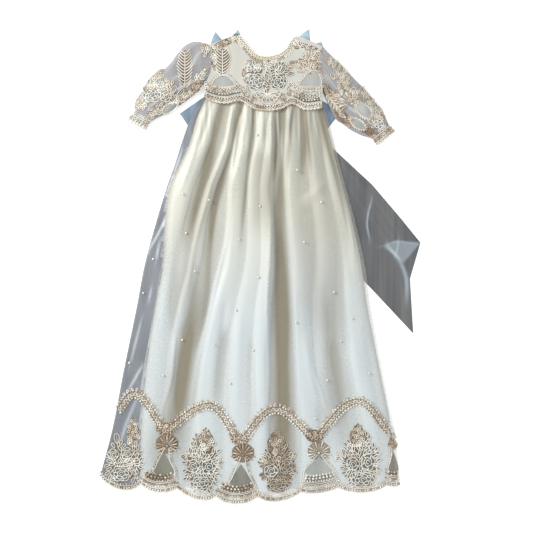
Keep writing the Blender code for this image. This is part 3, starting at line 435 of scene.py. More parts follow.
def hem_edge(x):
    """The scalloped edge itself: a round arc hung between two notches."""
    x = np.clip(x, HEM_PLACES[0], HEM_PLACES[-1])
    index = np.clip(np.searchsorted(HEM_PLACES, x, side="right") - 1, 0, len(SCALLOPS) - 1)
    lefts = np.asarray(HEM_PLACES)
    depths = np.asarray([s.depth for s in SCALLOPS])
    share = (x - lefts[index]) / (lefts[index + 1] - lefts[index])
    return hem_notch(x) + depths[index] * np.clip(1 - (2 * share - 1) ** 2, 0, 1) ** 0.7


def creased(x, down, creases, head=None, widen=0.0):
    """The sum of the creases at places in plan, each soft across and fading at its two ends.

    A crease grows over the length head at its start, and widen says how much it broadens on its way.
    """
    total = np.zeros(np.shape(x))
    for crease in creases:
        line = np.array([place_of(*p) for p in crease.line])
        if abs(line[-1, 1] - line[0, 1]) > abs(line[-1, 0] - line[0, 0]):
            along, across = down, x
            places, values = line[:, 1], line[:, 0]
        else:
            along, across = x, down
            places, values = line[:, 0], line[:, 1]
        if places[0] > places[-1]:
            places, values = places[::-1], values[::-1]
        slope = (values[-1] - values[0]) / (places[-1] - places[0])
        away = (across - curve(places, values, along)) / math.hypot(1, slope)
        long = places[-1] - places[0]
        end = min(40.0, long * 0.4)
        first = head or end
        tail = min(110.0, long * 0.5)
        fade = smooth((along - places[0] + first * 0.5) / first)
        fade = fade * smooth((places[-1] + end * 0.5 - along) / tail)
        wide = crease.wide * (1 + widen * (np.clip((along - places[0]) / long, 0, 1) - 0.5))
        total = total + crease.high * np.exp(-((away / wide) ** 2)) * fade
    return total


def relief(place, down):
    """Height of the front's folds from 0 to 1."""
    best = np.zeros(np.shape(place))
    for fold in FOLDS:
        centre = curve(FOLD_DOWNS, fold.places, down)
        reach = np.where(place < centre, fold.left, fold.right)
        share = np.clip((place - centre) / reach, -1, 1)
        best = np.maximum(best, curve(FOLD_DOWNS, fold.rises, down) * (1 - share * share) ** 2)
    return best * np.clip(np.minimum(place, 1 - place) / 0.04, 0, 1)


def ripple(x, down, size, seed):
    """Soft uneven waves, from -1 to 1, that run down the cloth."""
    rng = np.random.default_rng(seed)
    total = 0
    for _ in range(5):
        turn = rng.uniform(-0.12, 0.12)
        wave = size * rng.uniform(0.7, 1.6)
        shift = rng.uniform(0, 2 * math.pi)
        bend = rng.uniform(0.2, 0.8) * np.sin(down / (size * rng.uniform(8, 18)) + shift)
        total = total + np.sin(2 * math.pi * (x + turn * down) / wave + bend + shift)
    return total / 5


def satin_high(x, down):
    """Height of the satin's front over the base."""
    left = skirt_edge("satin_left", down)
    right = skirt_edge("satin_right", down)
    place = np.clip((x - left) / (right - left), 0, 1)
    fade = smooth(np.minimum(x - left, right - x) / 9)
    top = smooth((down + 6) / 30)
    rise = SATIN_RISE * relief(place, down) + 1.35 * creased(x, down, CREASES) * (0.35 + 0.65 * top)
    gathers = 1.1 * ripple(x, down * 0.3, 12, SEED) * smooth(1 - down / 130)
    soft = 0.3 * ripple(x, down, 48, SEED + 1)
    return SATIN_LIFT + np.maximum(0, rise + 1.2 * top + gathers + soft) * fade


def net_high(x, down):
    """Height of the net's front over the base: on the satin, then sloping off past its sides and hem."""
    left = skirt_edge("satin_left", down)
    right = skirt_edge("satin_right", down)
    inner = np.clip(x, left, right)
    over = np.maximum(0, np.abs(x - inner) - 1)
    short = hem_notch(x) - LINING_SHORT
    past = np.maximum(0, down - short)
    high = satin_high(inner, np.minimum(down, short)) + NET_GAP + 0.25 * ripple(x, down, 24, SEED + 2)
    strip = creased(x, down, NET_CREASES) * smooth(over / 8)
    soft = 0.8 * ripple(x, down * 0.4, 16, SEED + 3) * smooth(over / 14)
    return np.maximum(1.9, high - STRIP_SLOPE * (over * 0.5 + past * 0.8)) + np.maximum(-0.4, strip + soft)


# Meshes


def grid_faces(rows, columns, first=0, around=False):
    row = np.arange(rows - 1)[:, None] * columns
    column = np.arange(columns if around else columns - 1)[None, :]
    after = (column + 1) % columns
    quads = [row + column, row + columns + column, row + columns + after, row + after]
    return first + np.stack([q.ravel() for q in quads], axis=1)


def tube_faces(rows, around):
    """Faces round a tube and over both of its ends."""
    faces = [list(f) for f in grid_faces(rows, around, around=True)]
    faces.append(list(range(around)))
    faces.append([(rows - 1) * around + i for i in range(around)][::-1])
    return faces


def two_sided(rows, columns):
    """Faces of an upper and a lower sheet, and of the walls at their first and last column."""
    count = rows * columns
    faces = [grid_faces(rows, columns), grid_faces(rows, columns, count)[:, ::-1]]
    for column in (0, columns - 1):
        ups = np.arange(rows - 1) * columns + column
        faces.append(np.stack([ups, ups + count, ups + count + columns, ups + columns], axis=1))
    return faces


def shell(name, points, faces, materials, slots=None, tones=None, nodes=None):
    """A mesh object that rides with the part and stands for its CAD nodes."""
    mesh = bpy.data.meshes.new(name)
    mesh.from_pydata(np.asarray(points).tolist(), [], [list(map(int, f)) for f in faces])
    for one in materials:
        mesh.materials.append(one)
    if slots is not None:
        mesh.polygons.foreach_set("material_index", np.asarray(slots, dtype=np.int32))
    for label, values in (tones or {}).items():
        tones_of = mesh.attributes.new(label, "FLOAT", "POINT")
        tones_of.data.foreach_set("value", np.ravel(values).astype(np.float32))
    mesh.shade_smooth()
    mesh.update()
    made = bpy.data.objects.new(name, mesh)
    bpy.context.scene.collection.objects.link(made)
    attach(made, "root")
    if nodes:
        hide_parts(*nodes)
    return made


class Ground:
    """The upper face of a shell, read from straight above."""

    def __init__(self, *objects):
        points = []
        faces = []
        for made in objects:
            first = len(points)
            points += [v.co.copy() for v in made.data.vertices]
            faces += [tuple(first + i for i in p.vertices) for p in made.data.polygons]
        self.tree = BVHTree.FromPolygons(points, faces)

    def __call__(self, line):
        """Heights under a line of plan points; past the cloth's edge it keeps the last height."""
        heights = []
        for point in spots(line[:, 0], line[:, 1], 60):
            found = self.tree.ray_cast(Vector(point), Vector((0, 0, -1)))[0]
            heights.append(np.nan if found is None else found.z / MM)
        heights = np.array(heights)
        known = ~np.isnan(heights)
        if not known.any():
            return np.full(len(heights), 3.0)
        return np.interp(np.arange(len(heights)), np.flatnonzero(known), heights[known])


# Materials


def finish(name, values):
    made = bpy.data.materials.new(name)
    made.use_nodes = True
    shader = made.node_tree.nodes["Principled BSDF"]
    for socket, value in values.items():
        shader.inputs[socket].default_value = value
    return made, made.node_tree, shader


def add(tree, kind, inputs=(), **settings):
    made = tree.nodes.new("ShaderNode" + kind)
    for key, value in settings.items():
        setattr(made, key, value)
    for key, value in dict(inputs).items():
        if isinstance(value, bpy.types.NodeSocket):
            tree.links.new(value, made.inputs[key])
        else:
            made.inputs[key].default_value = value
    return made


def noise(tree, scale, detail=2.0, stretch=None):
    """A noise value over the cloth, in the part's own coordinates."""
    place = add(tree, "TexCoord").outputs["Object"]
    if stretch:
        place = add(tree, "Mapping", {"Vector": place, "Scale": stretch}).outputs["Vector"]
    return add(tree, "TexNoise", {"Vector": place, "Scale": scale, "Detail": detail}).outputs["Fac"]


def mix(tree, share, a, b):
    """A blend of two colours, each a node socket or red, green and blue."""
    made = add(tree, "Mix", data_type="RGBA")
    for index, value in ((0, share), (6, a), (7, b)):
        if isinstance(value, bpy.types.NodeSocket):
            tree.links.new(value, made.inputs[index])
        else:
            made.inputs[index].default_value = (*value, 1)
    return made.outputs[2]


def ranged(tree, value, low, high, to_low, to_high):
    made = add(tree, "MapRange", {
        "Value": value, "From Min": low, "From Max": high, "To Min": to_low, "To Max": to_high,
    })
    return made.outputs["Result"]


def tone(tree, label):
    return add(tree, "Attribute", attribute_name=label).outputs["Fac"]


def weave(tree, shader, scale, strength, distance=0.0002, turn=0.0):
    """Bump of crossing threads with a little unevenness."""
    place = add(tree, "TexCoord").outputs["Object"]
    place = add(tree, "Mapping", {"Vector": place, "Rotation": (0, 0, turn)}).outputs["Vector"]
    warp = add(tree, "TexWave", {"Vector": place, "Scale": scale, "Distortion": 0.6}, bands_direction="X")
    weft = add(tree, "TexWave", {"Vector": place, "Scale": scale, "Distortion": 0.6}, bands_direction="Y")
    both = add(tree, "Math", {0: warp.outputs["Fac"], 1: weft.outputs["Fac"]}, operation="MAXIMUM")
    bump = add(tree, "Bump", {"Height": both.outputs[0], "Strength": strength, "Distance": distance})
    tree.links.new(bump.outputs["Normal"], shader.inputs["Normal"])


def net_holes(tree, shader, pitch, hole, thread):
    """See-through holes of a net, a few to each width of a thread."""
    place = add(tree, "TexCoord").outputs["Object"]
    mapped = add(tree, "Mapping", {"Vector": place, "Rotation": (0, 0, 0.7), "Scale": (1, 1, 0.2)})
    cells = add(
        tree, "TexVoronoi",
        {"Vector": mapped.outputs["Vector"], "Scale": 1 / (pitch * MM), "Randomness": 0.25},
        feature="DISTANCE_TO_EDGE",
    )
    alpha = ranged(tree, cells.outputs["Distance"], 0.06, 0.22, thread, hole)
    tree.links.new(alpha, shader.inputs["Alpha"])


def satin(name, light, warm, painted_shade_and_tone, cool=None):
    made, tree, shader = finish(name, {"Roughness": 0.42, "Sheen Weight": 0.35, "Sheen Roughness": 0.4})
    shade = mix(tree, ranged(tree, noise(tree, 9), 0.35, 0.7, 0, 0.6), light, warm)
    if cool is not None:
        shade = mix(tree, tone(tree, "lower"), shade, cool)
    # Painted shade mixed in by the mesh attribute: the skirt's valleys, and on the bodice a random darker
    # tone
    shade = mix(tree, tone(tree, "painted_shade_and_tone"), shade, painted_shade_and_tone)
    tree.links.new(shade, shader.inputs["Base Color"])
    weave(tree, shader, 900, 0.12)
    return made


def net(name, light, dark, pitch, hole, thread, painted_highlight_colour=None, painted_shade_and_tone=None):
    """A net: pitch of its mesh in millimetres, and how solid its holes and its threads are."""
    made, tree, shader = finish(name, {"Roughness": 0.8, "Sheen Weight": 0.2, "Specular IOR Level": 0.2})
    shade = mix(tree, ranged(tree, noise(tree, 26, 3, (1, 0.25, 1)), 0.35, 0.65, 0, 1), light, dark)
    # A painted highlight along crease ridges, then painted shade in the valleys
    if painted_highlight_colour is not None:
        shade = mix(tree, tone(tree, "streak_and_painted_highlight"), shade, painted_highlight_colour)
    if painted_shade_and_tone is not None:
        shade = mix(tree, tone(tree, "painted_shade_and_tone"), shade, painted_shade_and_tone)
    tree.links.new(shade, shader.inputs["Base Color"])
    net_holes(tree, shader, pitch, hole, thread)
    return made


def cord(name, light, dark):
    made, tree, shader = finish(name, {"Roughness": 0.62, "Sheen Weight": 0.25, "Specular IOR Level": 0.35})
    shade = mix(tree, ranged(tree, noise(tree, 38), 0.4, 0.62, 0, 1), light, dark)
    shade = mix(tree, ranged(tree, noise(tree, 420), 0.4, 0.8, 0, 0.35), shade, dark)
    tree.links.new(shade, shader.inputs["Base Color"])
    weave(tree, shader, 700, 0.4, 0.0003, 0.6)
    return made


SASH_PAINTED_SHEEN = (0.40, 0.48, 0.53)


def ribbon_cloth(name, light, dark, rough, turn=0.0):
    made, tree, shader = finish(name, {"Roughness": rough, "Sheen Weight": 0.3})
    streak_and_painted_highlight = noise(tree, 60, 4, (1, 0.06, 1) if turn == 0 else (0.06, 1, 1))
    shade = mix(tree, ranged(tree, streak_and_painted_highlight, 0.35, 0.65, 0, 1), light, dark)
    # Painted shade in crease and fold troughs, a flat darker tone on the sash loops, then a painted pale
    # sheen on the doubled right tail
    shade = mix(tree, tone(tree, "painted_shade_and_tone"), shade, dark)
    shade = mix(tree, tone(tree, "painted_sheen"), shade, SASH_PAINTED_SHEEN)
    tree.links.new(shade, shader.inputs["Base Color"])
    weave(tree, shader, 800, 0.25, 0.0002, turn)
    return made


# The satin's third colour is the painted shade of its valleys, the fourth its cooler tone towards the hem
SATIN = satin(
    "ivory_satin_cloth", (0.69, 0.69, 0.60), (0.63, 0.61, 0.50), (0.24, 0.212, 0.145), (0.64, 0.70, 0.72)
)
BODICE_SATIN = satin("bodice_satin_cloth", (0.55, 0.55, 0.50), (0.50, 0.475, 0.41), (0.40, 0.36, 0.29))
# The front net's last colour is the painted shade of the skirt's valleys
NET_FRONT = net(
    "ivory_net", (0.64, 0.65, 0.60), (0.58, 0.60, 0.585), 1.9, 0.04, 0.38, painted_shade_and_tone=(0.36, 0.335, 0.275)
)
# The net past the satin's side and the net's back are darker grey copies of the front net: painted shade of
# the layers over and under each other. The strip's pale colour is a painted highlight on its crease ridges.
NET_STRIP = net(
    "sheer_net", (0.255, 0.275, 0.305), (0.17, 0.19, 0.22), 1.9, 0.30, 0.85, painted_highlight_colour=(0.75, 0.80, 0.84)
)
NET_BACK = net("back_net", (0.27, 0.285, 0.315), (0.18, 0.195, 0.22), 1.9, 0.60, 0.95)
# The sleeve's pale colour is a painted highlight on its crease ridges, and its under face, a darker copy of
# the same net, is painted shade
SLEEVE_NET = net(
    "sleeve_net", (0.42, 0.42, 0.425), (0.32, 0.32, 0.33), 1.8, 0.45, 0.9, painted_highlight_colour=(0.66, 0.66, 0.66)
)
SLEEVE_UNDER = net("sleeve_under_net", (0.33, 0.32, 0.30), (0.24, 0.23, 0.21), 1.8, 0.6, 0.95)
CORD = cord("lace_cord", (0.72, 0.64, 0.51), (0.46, 0.35, 0.24))
CORD_LIGHT = cord("lace_cord_light", (0.88, 0.87, 0.80), (0.70, 0.64, 0.54))
CORD_TAN = cord("lace_cord_tan", (0.50, 0.39, 0.29), (0.30, 0.21, 0.14))
CORD_YELLOW = cord("neck_cord", (0.94, 0.90, 0.78), (0.86, 0.80, 0.64))
FILL = net("lace_fill", (0.215, 0.235, 0.22), (0.125, 0.14, 0.13), 1.2, 0.80, 0.95)
PATCH = net("lace_net_patch", (0.25, 0.245, 0.20), (0.17, 0.16, 0.13), 1.4, 0.60, 0.95)
PATCH_PALE = net("bodice_net_patch", (0.48, 0.495, 0.465), (0.34, 0.36, 0.34), 1.4, 0.60, 0.95)
# The tan ground is the lace's net, made dark to stand for the shade between and under the raised cords:
# partly its own colour and partly painted shade
GROUND_TAN = net("lace_ground_tan", (0.23, 0.185, 0.13), (0.15, 0.115, 0.08), 1.2, 0.75, 1.0)
GROUND_CREAM = net("lace_ground_cream", (0.36, 0.33, 0.27), (0.26, 0.22, 0.17), 1.2, 0.40, 0.85)
PEARL = finish("pearl", {"Base Color": (0.76, 0.72, 0.62, 1), "Roughness": 0.3, "Coat Weight": 0.4})[0]
SASH = ribbon_cloth("sash_organza_cloth", (0.135, 0.135, 0.135), (0.08, 0.084, 0.088), 0.55)
SASH_BLUE = ribbon_cloth("sash_loop_cloth", (0.24, 0.32, 0.41), (0.13, 0.18, 0.25), 0.45)
BOW = ribbon_cloth("bow_satin", (0.40, 0.53, 0.60), (0.22, 0.34, 0.43), 0.35, 0.8)


# Skirt


def skirt_grid(left_name, right_name, columns, rows, past_rows):
    """Plan places of a tube's front, row by row, from the waist to its edge."""
    share = np.linspace(0, 1, columns)
    downs = np.linspace(0, 1, rows) ** 1.15
    first = HEM_PLACES[0 if left_name == "net_left" else 1]
    hem_x = first + share * (HEM_RIGHT[0] - first)
    last = hem_notch(hem_x) - LINING_SHORT
    down = SKIRT_TOP + downs[:, None] * (last - SKIRT_TOP)[None, :]
    left = skirt_edge(left_name, down) + EDGE_ROUND
    right = skirt_edge(right_name, down) - EDGE_ROUND
    x = left + share[None, :] * (right - left)
    if past_rows:
        steps = np.linspace(0, 1, past_rows + 1)[1:, None]
        more_down = last[None, :] + steps * (hem_edge(hem_x) - last)[None, :]
        more_x = np.repeat(x[-1:], past_rows, axis=0)
        outer = np.clip(np.abs(share - 0.5) * 2, 0, 1)
        more_x = more_x + steps * (hem_x[None, :] - more_x) * outer[None, :]
        down = np.vstack([down, more_down])
        x = np.vstack([x, more_x])
    return x, down


def skirt_tube(name, columns, rows, past_rows, names, back_lift, front_high, materials, node):
    """Front and back of a skirt layer as one tube, joined by rounded edges."""
    x, down = skirt_grid(*names, columns, rows, past_rows)
    low = base(x, down)
    front = low + front_high(x, down)
    back_at = np.linspace(columns - 1, 0, columns // 3).astype(int)
    back = low[:, back_at] + back_lift + 0.15 * ripple(x[:, back_at], down[:, back_at], 30, SEED + 5)
    mid_left = (front[:, :1] + back[:, -1:]) / 2
    mid_right = (front[:, -1:] + back[:, :1]) / 2
    ring_x = np.hstack([x[:, :1] - EDGE_ROUND, x, x[:, -1:] + EDGE_ROUND, x[:, back_at]])
    ring_down = np.hstack([down[:, :1], down, down[:, -1:], down[:, back_at]])
    ring_high = np.hstack([mid_left, front, mid_right, back])
    count = ring_x.shape[1]
    faces = grid_faces(len(ring_x), count, around=True)
    column = np.tile(np.arange(count), len(ring_x) - 1)
    middle_x = ring_x[:-1].ravel()
    middle_down = ring_down[:-1].ravel()
    slots = np.zeros(len(faces), dtype=int)
    if len(materials) > 1:
        beyond = middle_x < skirt_edge("satin_left", middle_down) - 1
        slots[beyond] = 1
        slots[beyond & (column > columns)] = 2
    # Painted shade: darker where the cloth lies low in its folds and along the painted shade lines
    ring_low = np.hstack([low[:, :1], low, low[:, -1:], low[:, back_at]])
    painted_shade_and_tone = np.clip((2.0 - (ring_high - ring_low - SATIN_LIFT)) / 5, 0, 0.35)
    painted_shade_and_tone = painted_shade_and_tone + creased(ring_x, ring_down, PAINTED_SHADES)
    painted_shade_and_tone = np.clip(painted_shade_and_tone + creased(ring_x, ring_down, LOW_PAINTED_SHADES, SHADE_HEAD, SHADE_WIDEN), 0, 1)
    # Painted highlight along the net's crease ridges
    streak_and_painted_highlight = np.clip(0.6 * creased(ring_x, ring_down, NET_CREASES), 0, 1)
    lower = smooth((ring_down - COOL_FROM) / COOL_LONG)
    return shell(
        name, spots(ring_x, ring_down, ring_high), faces, materials, slots,
        {"painted_shade_and_tone": painted_shade_and_tone, "lower": lower, "streak_and_painted_highlight": streak_and_painted_highlight}, [node],
    )


lining = skirt_tube(
    "skirt_lining_satin", 190, 200, 0, ("satin_left", "satin_right"), 1.3, satin_high, [SATIN],
    "skirt_lining",
)
overlay = skirt_tube(
    "skirt_overlay_net", 210, 200, 8, ("net_left", "net_right"), 0.3, net_high,
    [NET_FRONT, NET_STRIP, NET_BACK], "skirt_overlay",
)


# Bodice


def bodice_grid(columns, rows, lowest=None, first=0.0, last=1.0):
    place = np.linspace(first, last, columns)[None, :]
    level = np.linspace(0, 1, rows)[:, None]
    lower_x = BODICE_LOWER[0].x + place * (BODICE_LOWER[-1].x - BODICE_LOWER[0].x)
    upper_x = BODICE_UPPER[0].x + place * (BODICE_UPPER[-1].x - BODICE_UPPER[0].x)
    lower_down = edge_read(BODICE_LOWER, lower_x)
    if lowest is not None:
        lower_down = np.minimum(lower_down, lowest)
    x = lower_x + level * (upper_x - lower_x)
    down = lower_down + level * (edge_read(BODICE_UPPER, upper_x) - lower_down)
    for side, share, end in ((SIDE_LEFT, place, 0), (SIDE_RIGHT, 1 - place, -1)):
        straight = BODICE_LOWER[end].x + level * (BODICE_UPPER[end].x - BODICE_LOWER[end].x)
        x = x + (side_read(side, down) - straight) * np.clip(1 - share / SIDE_REACH, 0, 1)
    return x, down


def bodice_high(x, down):
    share = smooth((SKIRT_TOP + 4 - down) / 34)
    low = BODICE_LIFT + (BODICE_LOW - BODICE_LIFT) * share
    swell = 1.4 * share * np.clip(1 - (x / 90) ** 2, 0, 1) * np.clip(1 - ((down + 60) / 50) ** 2, 0, 1)
    return low + swell + BODICE_CLOTH + 0.35 * ripple(x, down, 34, SEED + 8)


def bodice():
    x, down = bodice_grid(150, 90)
    high = base(x, down) + bodice_high(x, down)
    # A random darker tone of the bodice satin, not shade, in the same attribute as the skirt's painted
    # shade
    painted_shade_and_tone = np.clip(0.25 * ripple(x, down, 26, SEED + 9), 0, 1)
    front = shell(
        "bodice_front_satin", spots(x, down, high), grid_faces(*x.shape)[:, ::-1], [BODICE_SATIN],
        None, {"painted_shade_and_tone": painted_shade_and_tone}, ["bodice_front"],
    )
    backs = []
    for name, first, last in (("left", 0.0, 0.4992), ("right", 0.5008, 1.0)):
        x, down = bodice_grid(50, 60, SKIRT_TOP - 0.6, first, last)
        high = base(x, down) + 0.5
        node = "bodice_back_" + name
        backs.append(shell(
            node + "_satin", spots(x, down, high), grid_faces(*x.shape)[:, ::-1], [BODICE_SATIN],
            None, {"painted_shade_and_tone": np.zeros(x.size)}, [node],
        ))
    return front, backs


bodice_front, bodice_backs = bodice()


# Sleeves


def sleeve(name, table, side, way, rows=90, columns=44):
    """A sleeve as a flattened tube, eased at its head along the armhole."""
    at = np.linspace(0, len(table) - 1, rows)
    numbers = range(len(table))
    read = {key: curve(numbers, [getattr(r, key) for r in table], at)[:, None] for key in SleeveRow._fields}
    front = np.linspace(0, 1, columns)
    back = np.linspace(1, 0, columns // 2)[1:-1]
    part = np.concatenate([front, back])[None, :]
    x = read["top_x"] + part * (read["low_x"] - read["top_x"]) + read["bulge"] * 4 * part * (1 - part)
    down = read["top_down"] + part * (read["low_down"] - read["top_down"])
    head = np.clip(1 - at / 0.9, 0, 1)[:, None]
    seam_x = side_read(side, down) + way * ARMHOLE_SEAM
    straight = table[0].top_x + part * (table[0].low_x - table[0].top_x)
    x = x + (seam_x - straight) * head
    shape = curve(SLEEVE_PARTS, SLEEVE_SHAPE, part)
    puff = 1.5 * smooth(at / 1.2)[:, None] * shape
    gathers = 0.8 * np.sin(part * 52) * np.clip(1 - at / 1.6, 0, 1)[:, None]
    creases = creased(x, down, SLEEVE_CREASES)
    soft = 0.7 * ripple(down, x, 30, SEED + 11)
    rise = (gathers + creases + soft + puff) * smooth(np.minimum(part, 1 - part) / 0.08)
    high = np.maximum(1.4, read["high"] * shape + rise)
    is_back = np.arange(part.shape[1]) >= columns
    high = np.where(is_back[None, :], 0.2, high)
    high[:, 0] = high[:, columns - 1] = 1.0
    high = high + base(x, down)
    count = part.shape[1]
    faces = grid_faces(rows, count, around=True)
    if way < 0:
        faces = faces[:, ::-1]
    slots = np.where(np.tile(np.arange(count), rows - 1) >= columns - 1, 1, 0)
    # Painted highlight on the sleeve's crease ridges and waves, on its front only
    streak_and_painted_highlight = np.clip(0.55 * creases + 0.25 * soft, 0, 1) * ~is_back[None, :]
    return shell(
        name + "_net", spots(x, down, high), faces, [SLEEVE_NET, SLEEVE_UNDER], slots,
        {"streak_and_painted_highlight": streak_and_painted_highlight}, [name],
    )


sleeve_left = sleeve("sleeve_left", SLEEVE_LEFT, SIDE_LEFT, -1)
sleeve_right = sleeve("sleeve_right", SLEEVE_RIGHT, SIDE_RIGHT, 1)


def sleeve_end(table):
    """The middle of a sleeve's last row, its half from top to low, and the way on from it."""
    tops, lows = [np.array([(r[i], r[i + 1]) for r in (table[-1], table[-3])], float) for i in (0, 2)]
    along = tops[0] + lows[0] - tops[1] - lows[1]
    return (tops[0] + lows[0]) / 2, (lows[0] - tops[0]) / 2, along / np.hypot(*along)


def cuff(name, table, rows=12, columns=120):
    """The gathered frill past a sleeve's end, waved more and more towards its free edge."""
    middle, half, along = sleeve_end(table)
    step = np.linspace(-0.25, 1.0, rows)[:, None]
    part = np.linspace(-1, 1, columns)[None, :]
    waves = np.sin(part * math.pi * 6.4 + 0.8 * np.sin(part * 5))
    spread = 1 + 0.14 * np.clip(step, 0, 1)
    reach = CUFF_LONG * (step + 0.13 * np.clip(step, 0, 1) * np.cos(part * math.pi * 8))
    x = middle[0] + half[0] * part * spread + along[0] * reach
    down = middle[1] + half[1] * part * spread + along[1] * reach
    arch = 1 - 0.55 * part ** 2
    top = 1.6 + 4.2 * arch * (1 - 0.2 * step) + 1.3 * waves * np.clip(step + 0.25, 0, 1) * (1 - part ** 6)
    top = base(x, down) + np.maximum(1.2, top)
    low = base(x, down) + 0.3 + 0.2 * waves * np.clip(step, 0, 1)
    points = np.vstack([spots(x, down, top), spots(x, down, low)])
    faces = np.vstack(two_sided(rows, columns))
    return shell(name + "_lace", points, faces, [GROUND_CREAM], None, None, [name])


cuff_left = cuff("cuff_left", SLEEVE_LEFT)
cuff_right = cuff("cuff_right", SLEEVE_RIGHT)


# Ribbons


def row_at(rows, at):
    numbers = range(len(rows))
    return [np.interp(at, numbers, [getattr(r, key) for r in rows])[:, None] for key in SashRow._fields]


def ribbon_plan(rows, steps, columns):
    left_x, left_down, right_x, right_down = row_at(rows, np.linspace(0, len(rows) - 1, steps))
    part = np.linspace(0, 1, columns)[None, :]
    return left_x + part * (right_x - left_x), left_down + part * (right_down - left_down), part


SASH_CREASES = rows_of(Crease, (
    (1.2, 5, ((371, 200), (367, 222), (370, 238))),
    (-0.8, 6, ((352, 190), (356, 214), (352, 236))),
    (1.0, 4, ((345, 165), (380, 205), (418, 262))),
    (0.8, 4, ((350, 186), (385, 236), (412, 290))),
    (-0.7, 5, ((372, 196), (400, 240), (410, 270))),
    (0.8, 4, ((398, 262), (404, 296), (406, 326))),
))


# Where the right tail is doubled over and painted with a pale sheen: its corner, and painted highlights
# along a twist below it and a ridge
SASH_CORNER = ((384, 247), (395, 240.5), (421, 243), (404, 263))
SASH_LIT = rows_of(Crease, (
    (0.62, 4.0, ((388, 246), (397, 256), (403, 267), (407, 280), (407, 304))),
    (0.70, 1.8, ((372, 200), (368.5, 214), (367.5, 225), (370, 240))),
    (0.30, 1.8, ((380, 247), (397, 241.5), (409, 242.5), (424, 244))),
    (0.35, 1.8, ((399, 238), (398, 248), (395, 258))),
))


def pale(x, down):
    """How strong the painted pale sheen on the doubled cloth of the right tail is at places in plan,
    growing to the right, with painted highlights along its lines.
    """
    inner = np.ones(np.shape(x))
    corners = np.array([place_of(*p) for p in SASH_CORNER])
    for (ax, ay), (bx, by) in zip(corners, np.roll(corners, -1, axis=0)):
        away = ((bx - ax) * (down - ay) - (by - ay) * (x - ax)) / math.hypot(bx - ax, by - ay)
        inner = inner * smooth((away + 2.0) / 4.5)
    shade = 0.75 + 0.25 * np.clip((x - corners[0, 0]) / 60, 0, 1)
    return np.clip(0.46 * inner * shade + creased(x, down, SASH_LIT), 0, 1)


# How far the right tail's end edge bends in, and where across it
SASH_NOTCH = 15.0
NOTCH_AT = 0.4


def ribbon(name, rows, steps=90, columns=36, notch=0.0):
    """A laid band of organza; its end edge may bend in by some millimetres at one place."""
    x, down, part = ribbon_plan(rows, steps, columns)
    bend = np.minimum(part / NOTCH_AT, (1 - part) / (1 - NOTCH_AT))
    x = x - notch * bend * smooth((np.linspace(0, 1, steps)[:, None] - 0.8) / 0.2)
    soft = 0.35 * ripple(x, down, 22, SEED + 15) + np.maximum(-0.2, creased(x, down, SASH_CREASES))
    high = loop_cover(x, down) + 0.5 + np.maximum(-0.3, soft) * smooth(np.minimum(part, 1 - part) / 0.06)
    # Painted shade in the crease troughs, and a painted shadow in a round patch beside the skirt's right
    # edge
    painted_shade_and_tone = np.clip(-creased(x, down, SASH_CREASES), 0, 1) * 0.6
    corner = np.array(place_of(363, 228))
    painted_shade_and_tone = np.maximum(painted_shade_and_tone, 0.8 * np.clip(1.4 - np.hypot(x - corner[0], down - corner[1]) / 20, 0, 1))
    # Painted pale sheen on the doubled right tail, which also lifts the cloth a little
    painted_sheen = pale(x, down)
    high = high + 0.8 * painted_sheen
    return shell(
        name + "_cloth", spots(x, down, high), grid_faces(steps, columns), [SASH], None,
        {"painted_shade_and_tone": painted_shade_and_tone, "painted_sheen": painted_sheen}, [name],
    )


def sash_loop(name, rows, steps=50, columns=30):
    """Out from the knot on the floor, round a soft fold and back on top."""
    x, down = ribbon_plan(rows, steps, columns)[:2]
    top_x = KNOT[0] + (x[::-1] - KNOT[0]) * LOOP_SHRINK
    top_down = KNOT[1] + (down[::-1] - KNOT[1]) * LOOP_SHRINK
    lift = 0.12 * ripple(x, down, 18, SEED + 17)
    points = np.vstack([spots(x, down, 0.25 + 0 * x), spots(top_x, top_down, 1.9 + lift[::-1])])
    return shell(
        name + "_cloth", points, grid_faces(2 * steps, columns), [SASH_BLUE],
        None, {"painted_shade_and_tone": np.full(len(points), 0.25)}, [name],
    )


def rounded(name, x, down, half_x, half_down, high, material, rings=8, around=28, creases=5):
    """A soft wrapped knot with small gathers round it."""
    level = np.linspace(0, 1, rings)[:, None]
    turn = np.linspace(0, 2 * math.pi, around, endpoint=False)[None, :]
    reach = np.sqrt(np.clip(1 - (level * 0.92) ** 2.4, 0, 1)) * (1 + 0.05 * np.cos(creases * 2 * turn))
    px = x + half_x * reach * np.sign(np.cos(turn)) * np.abs(np.cos(turn)) ** 0.6
    pd = down + half_down * reach * np.sign(np.sin(turn)) * np.abs(np.sin(turn)) ** 0.6
    points = spots(px, pd, high * level ** 0.9 + 0 * turn)
    return shell(
        name + "_cloth", points, tube_faces(rings, around), [material],
        None, {"painted_shade_and_tone": np.zeros(len(points))}, [name],
    )


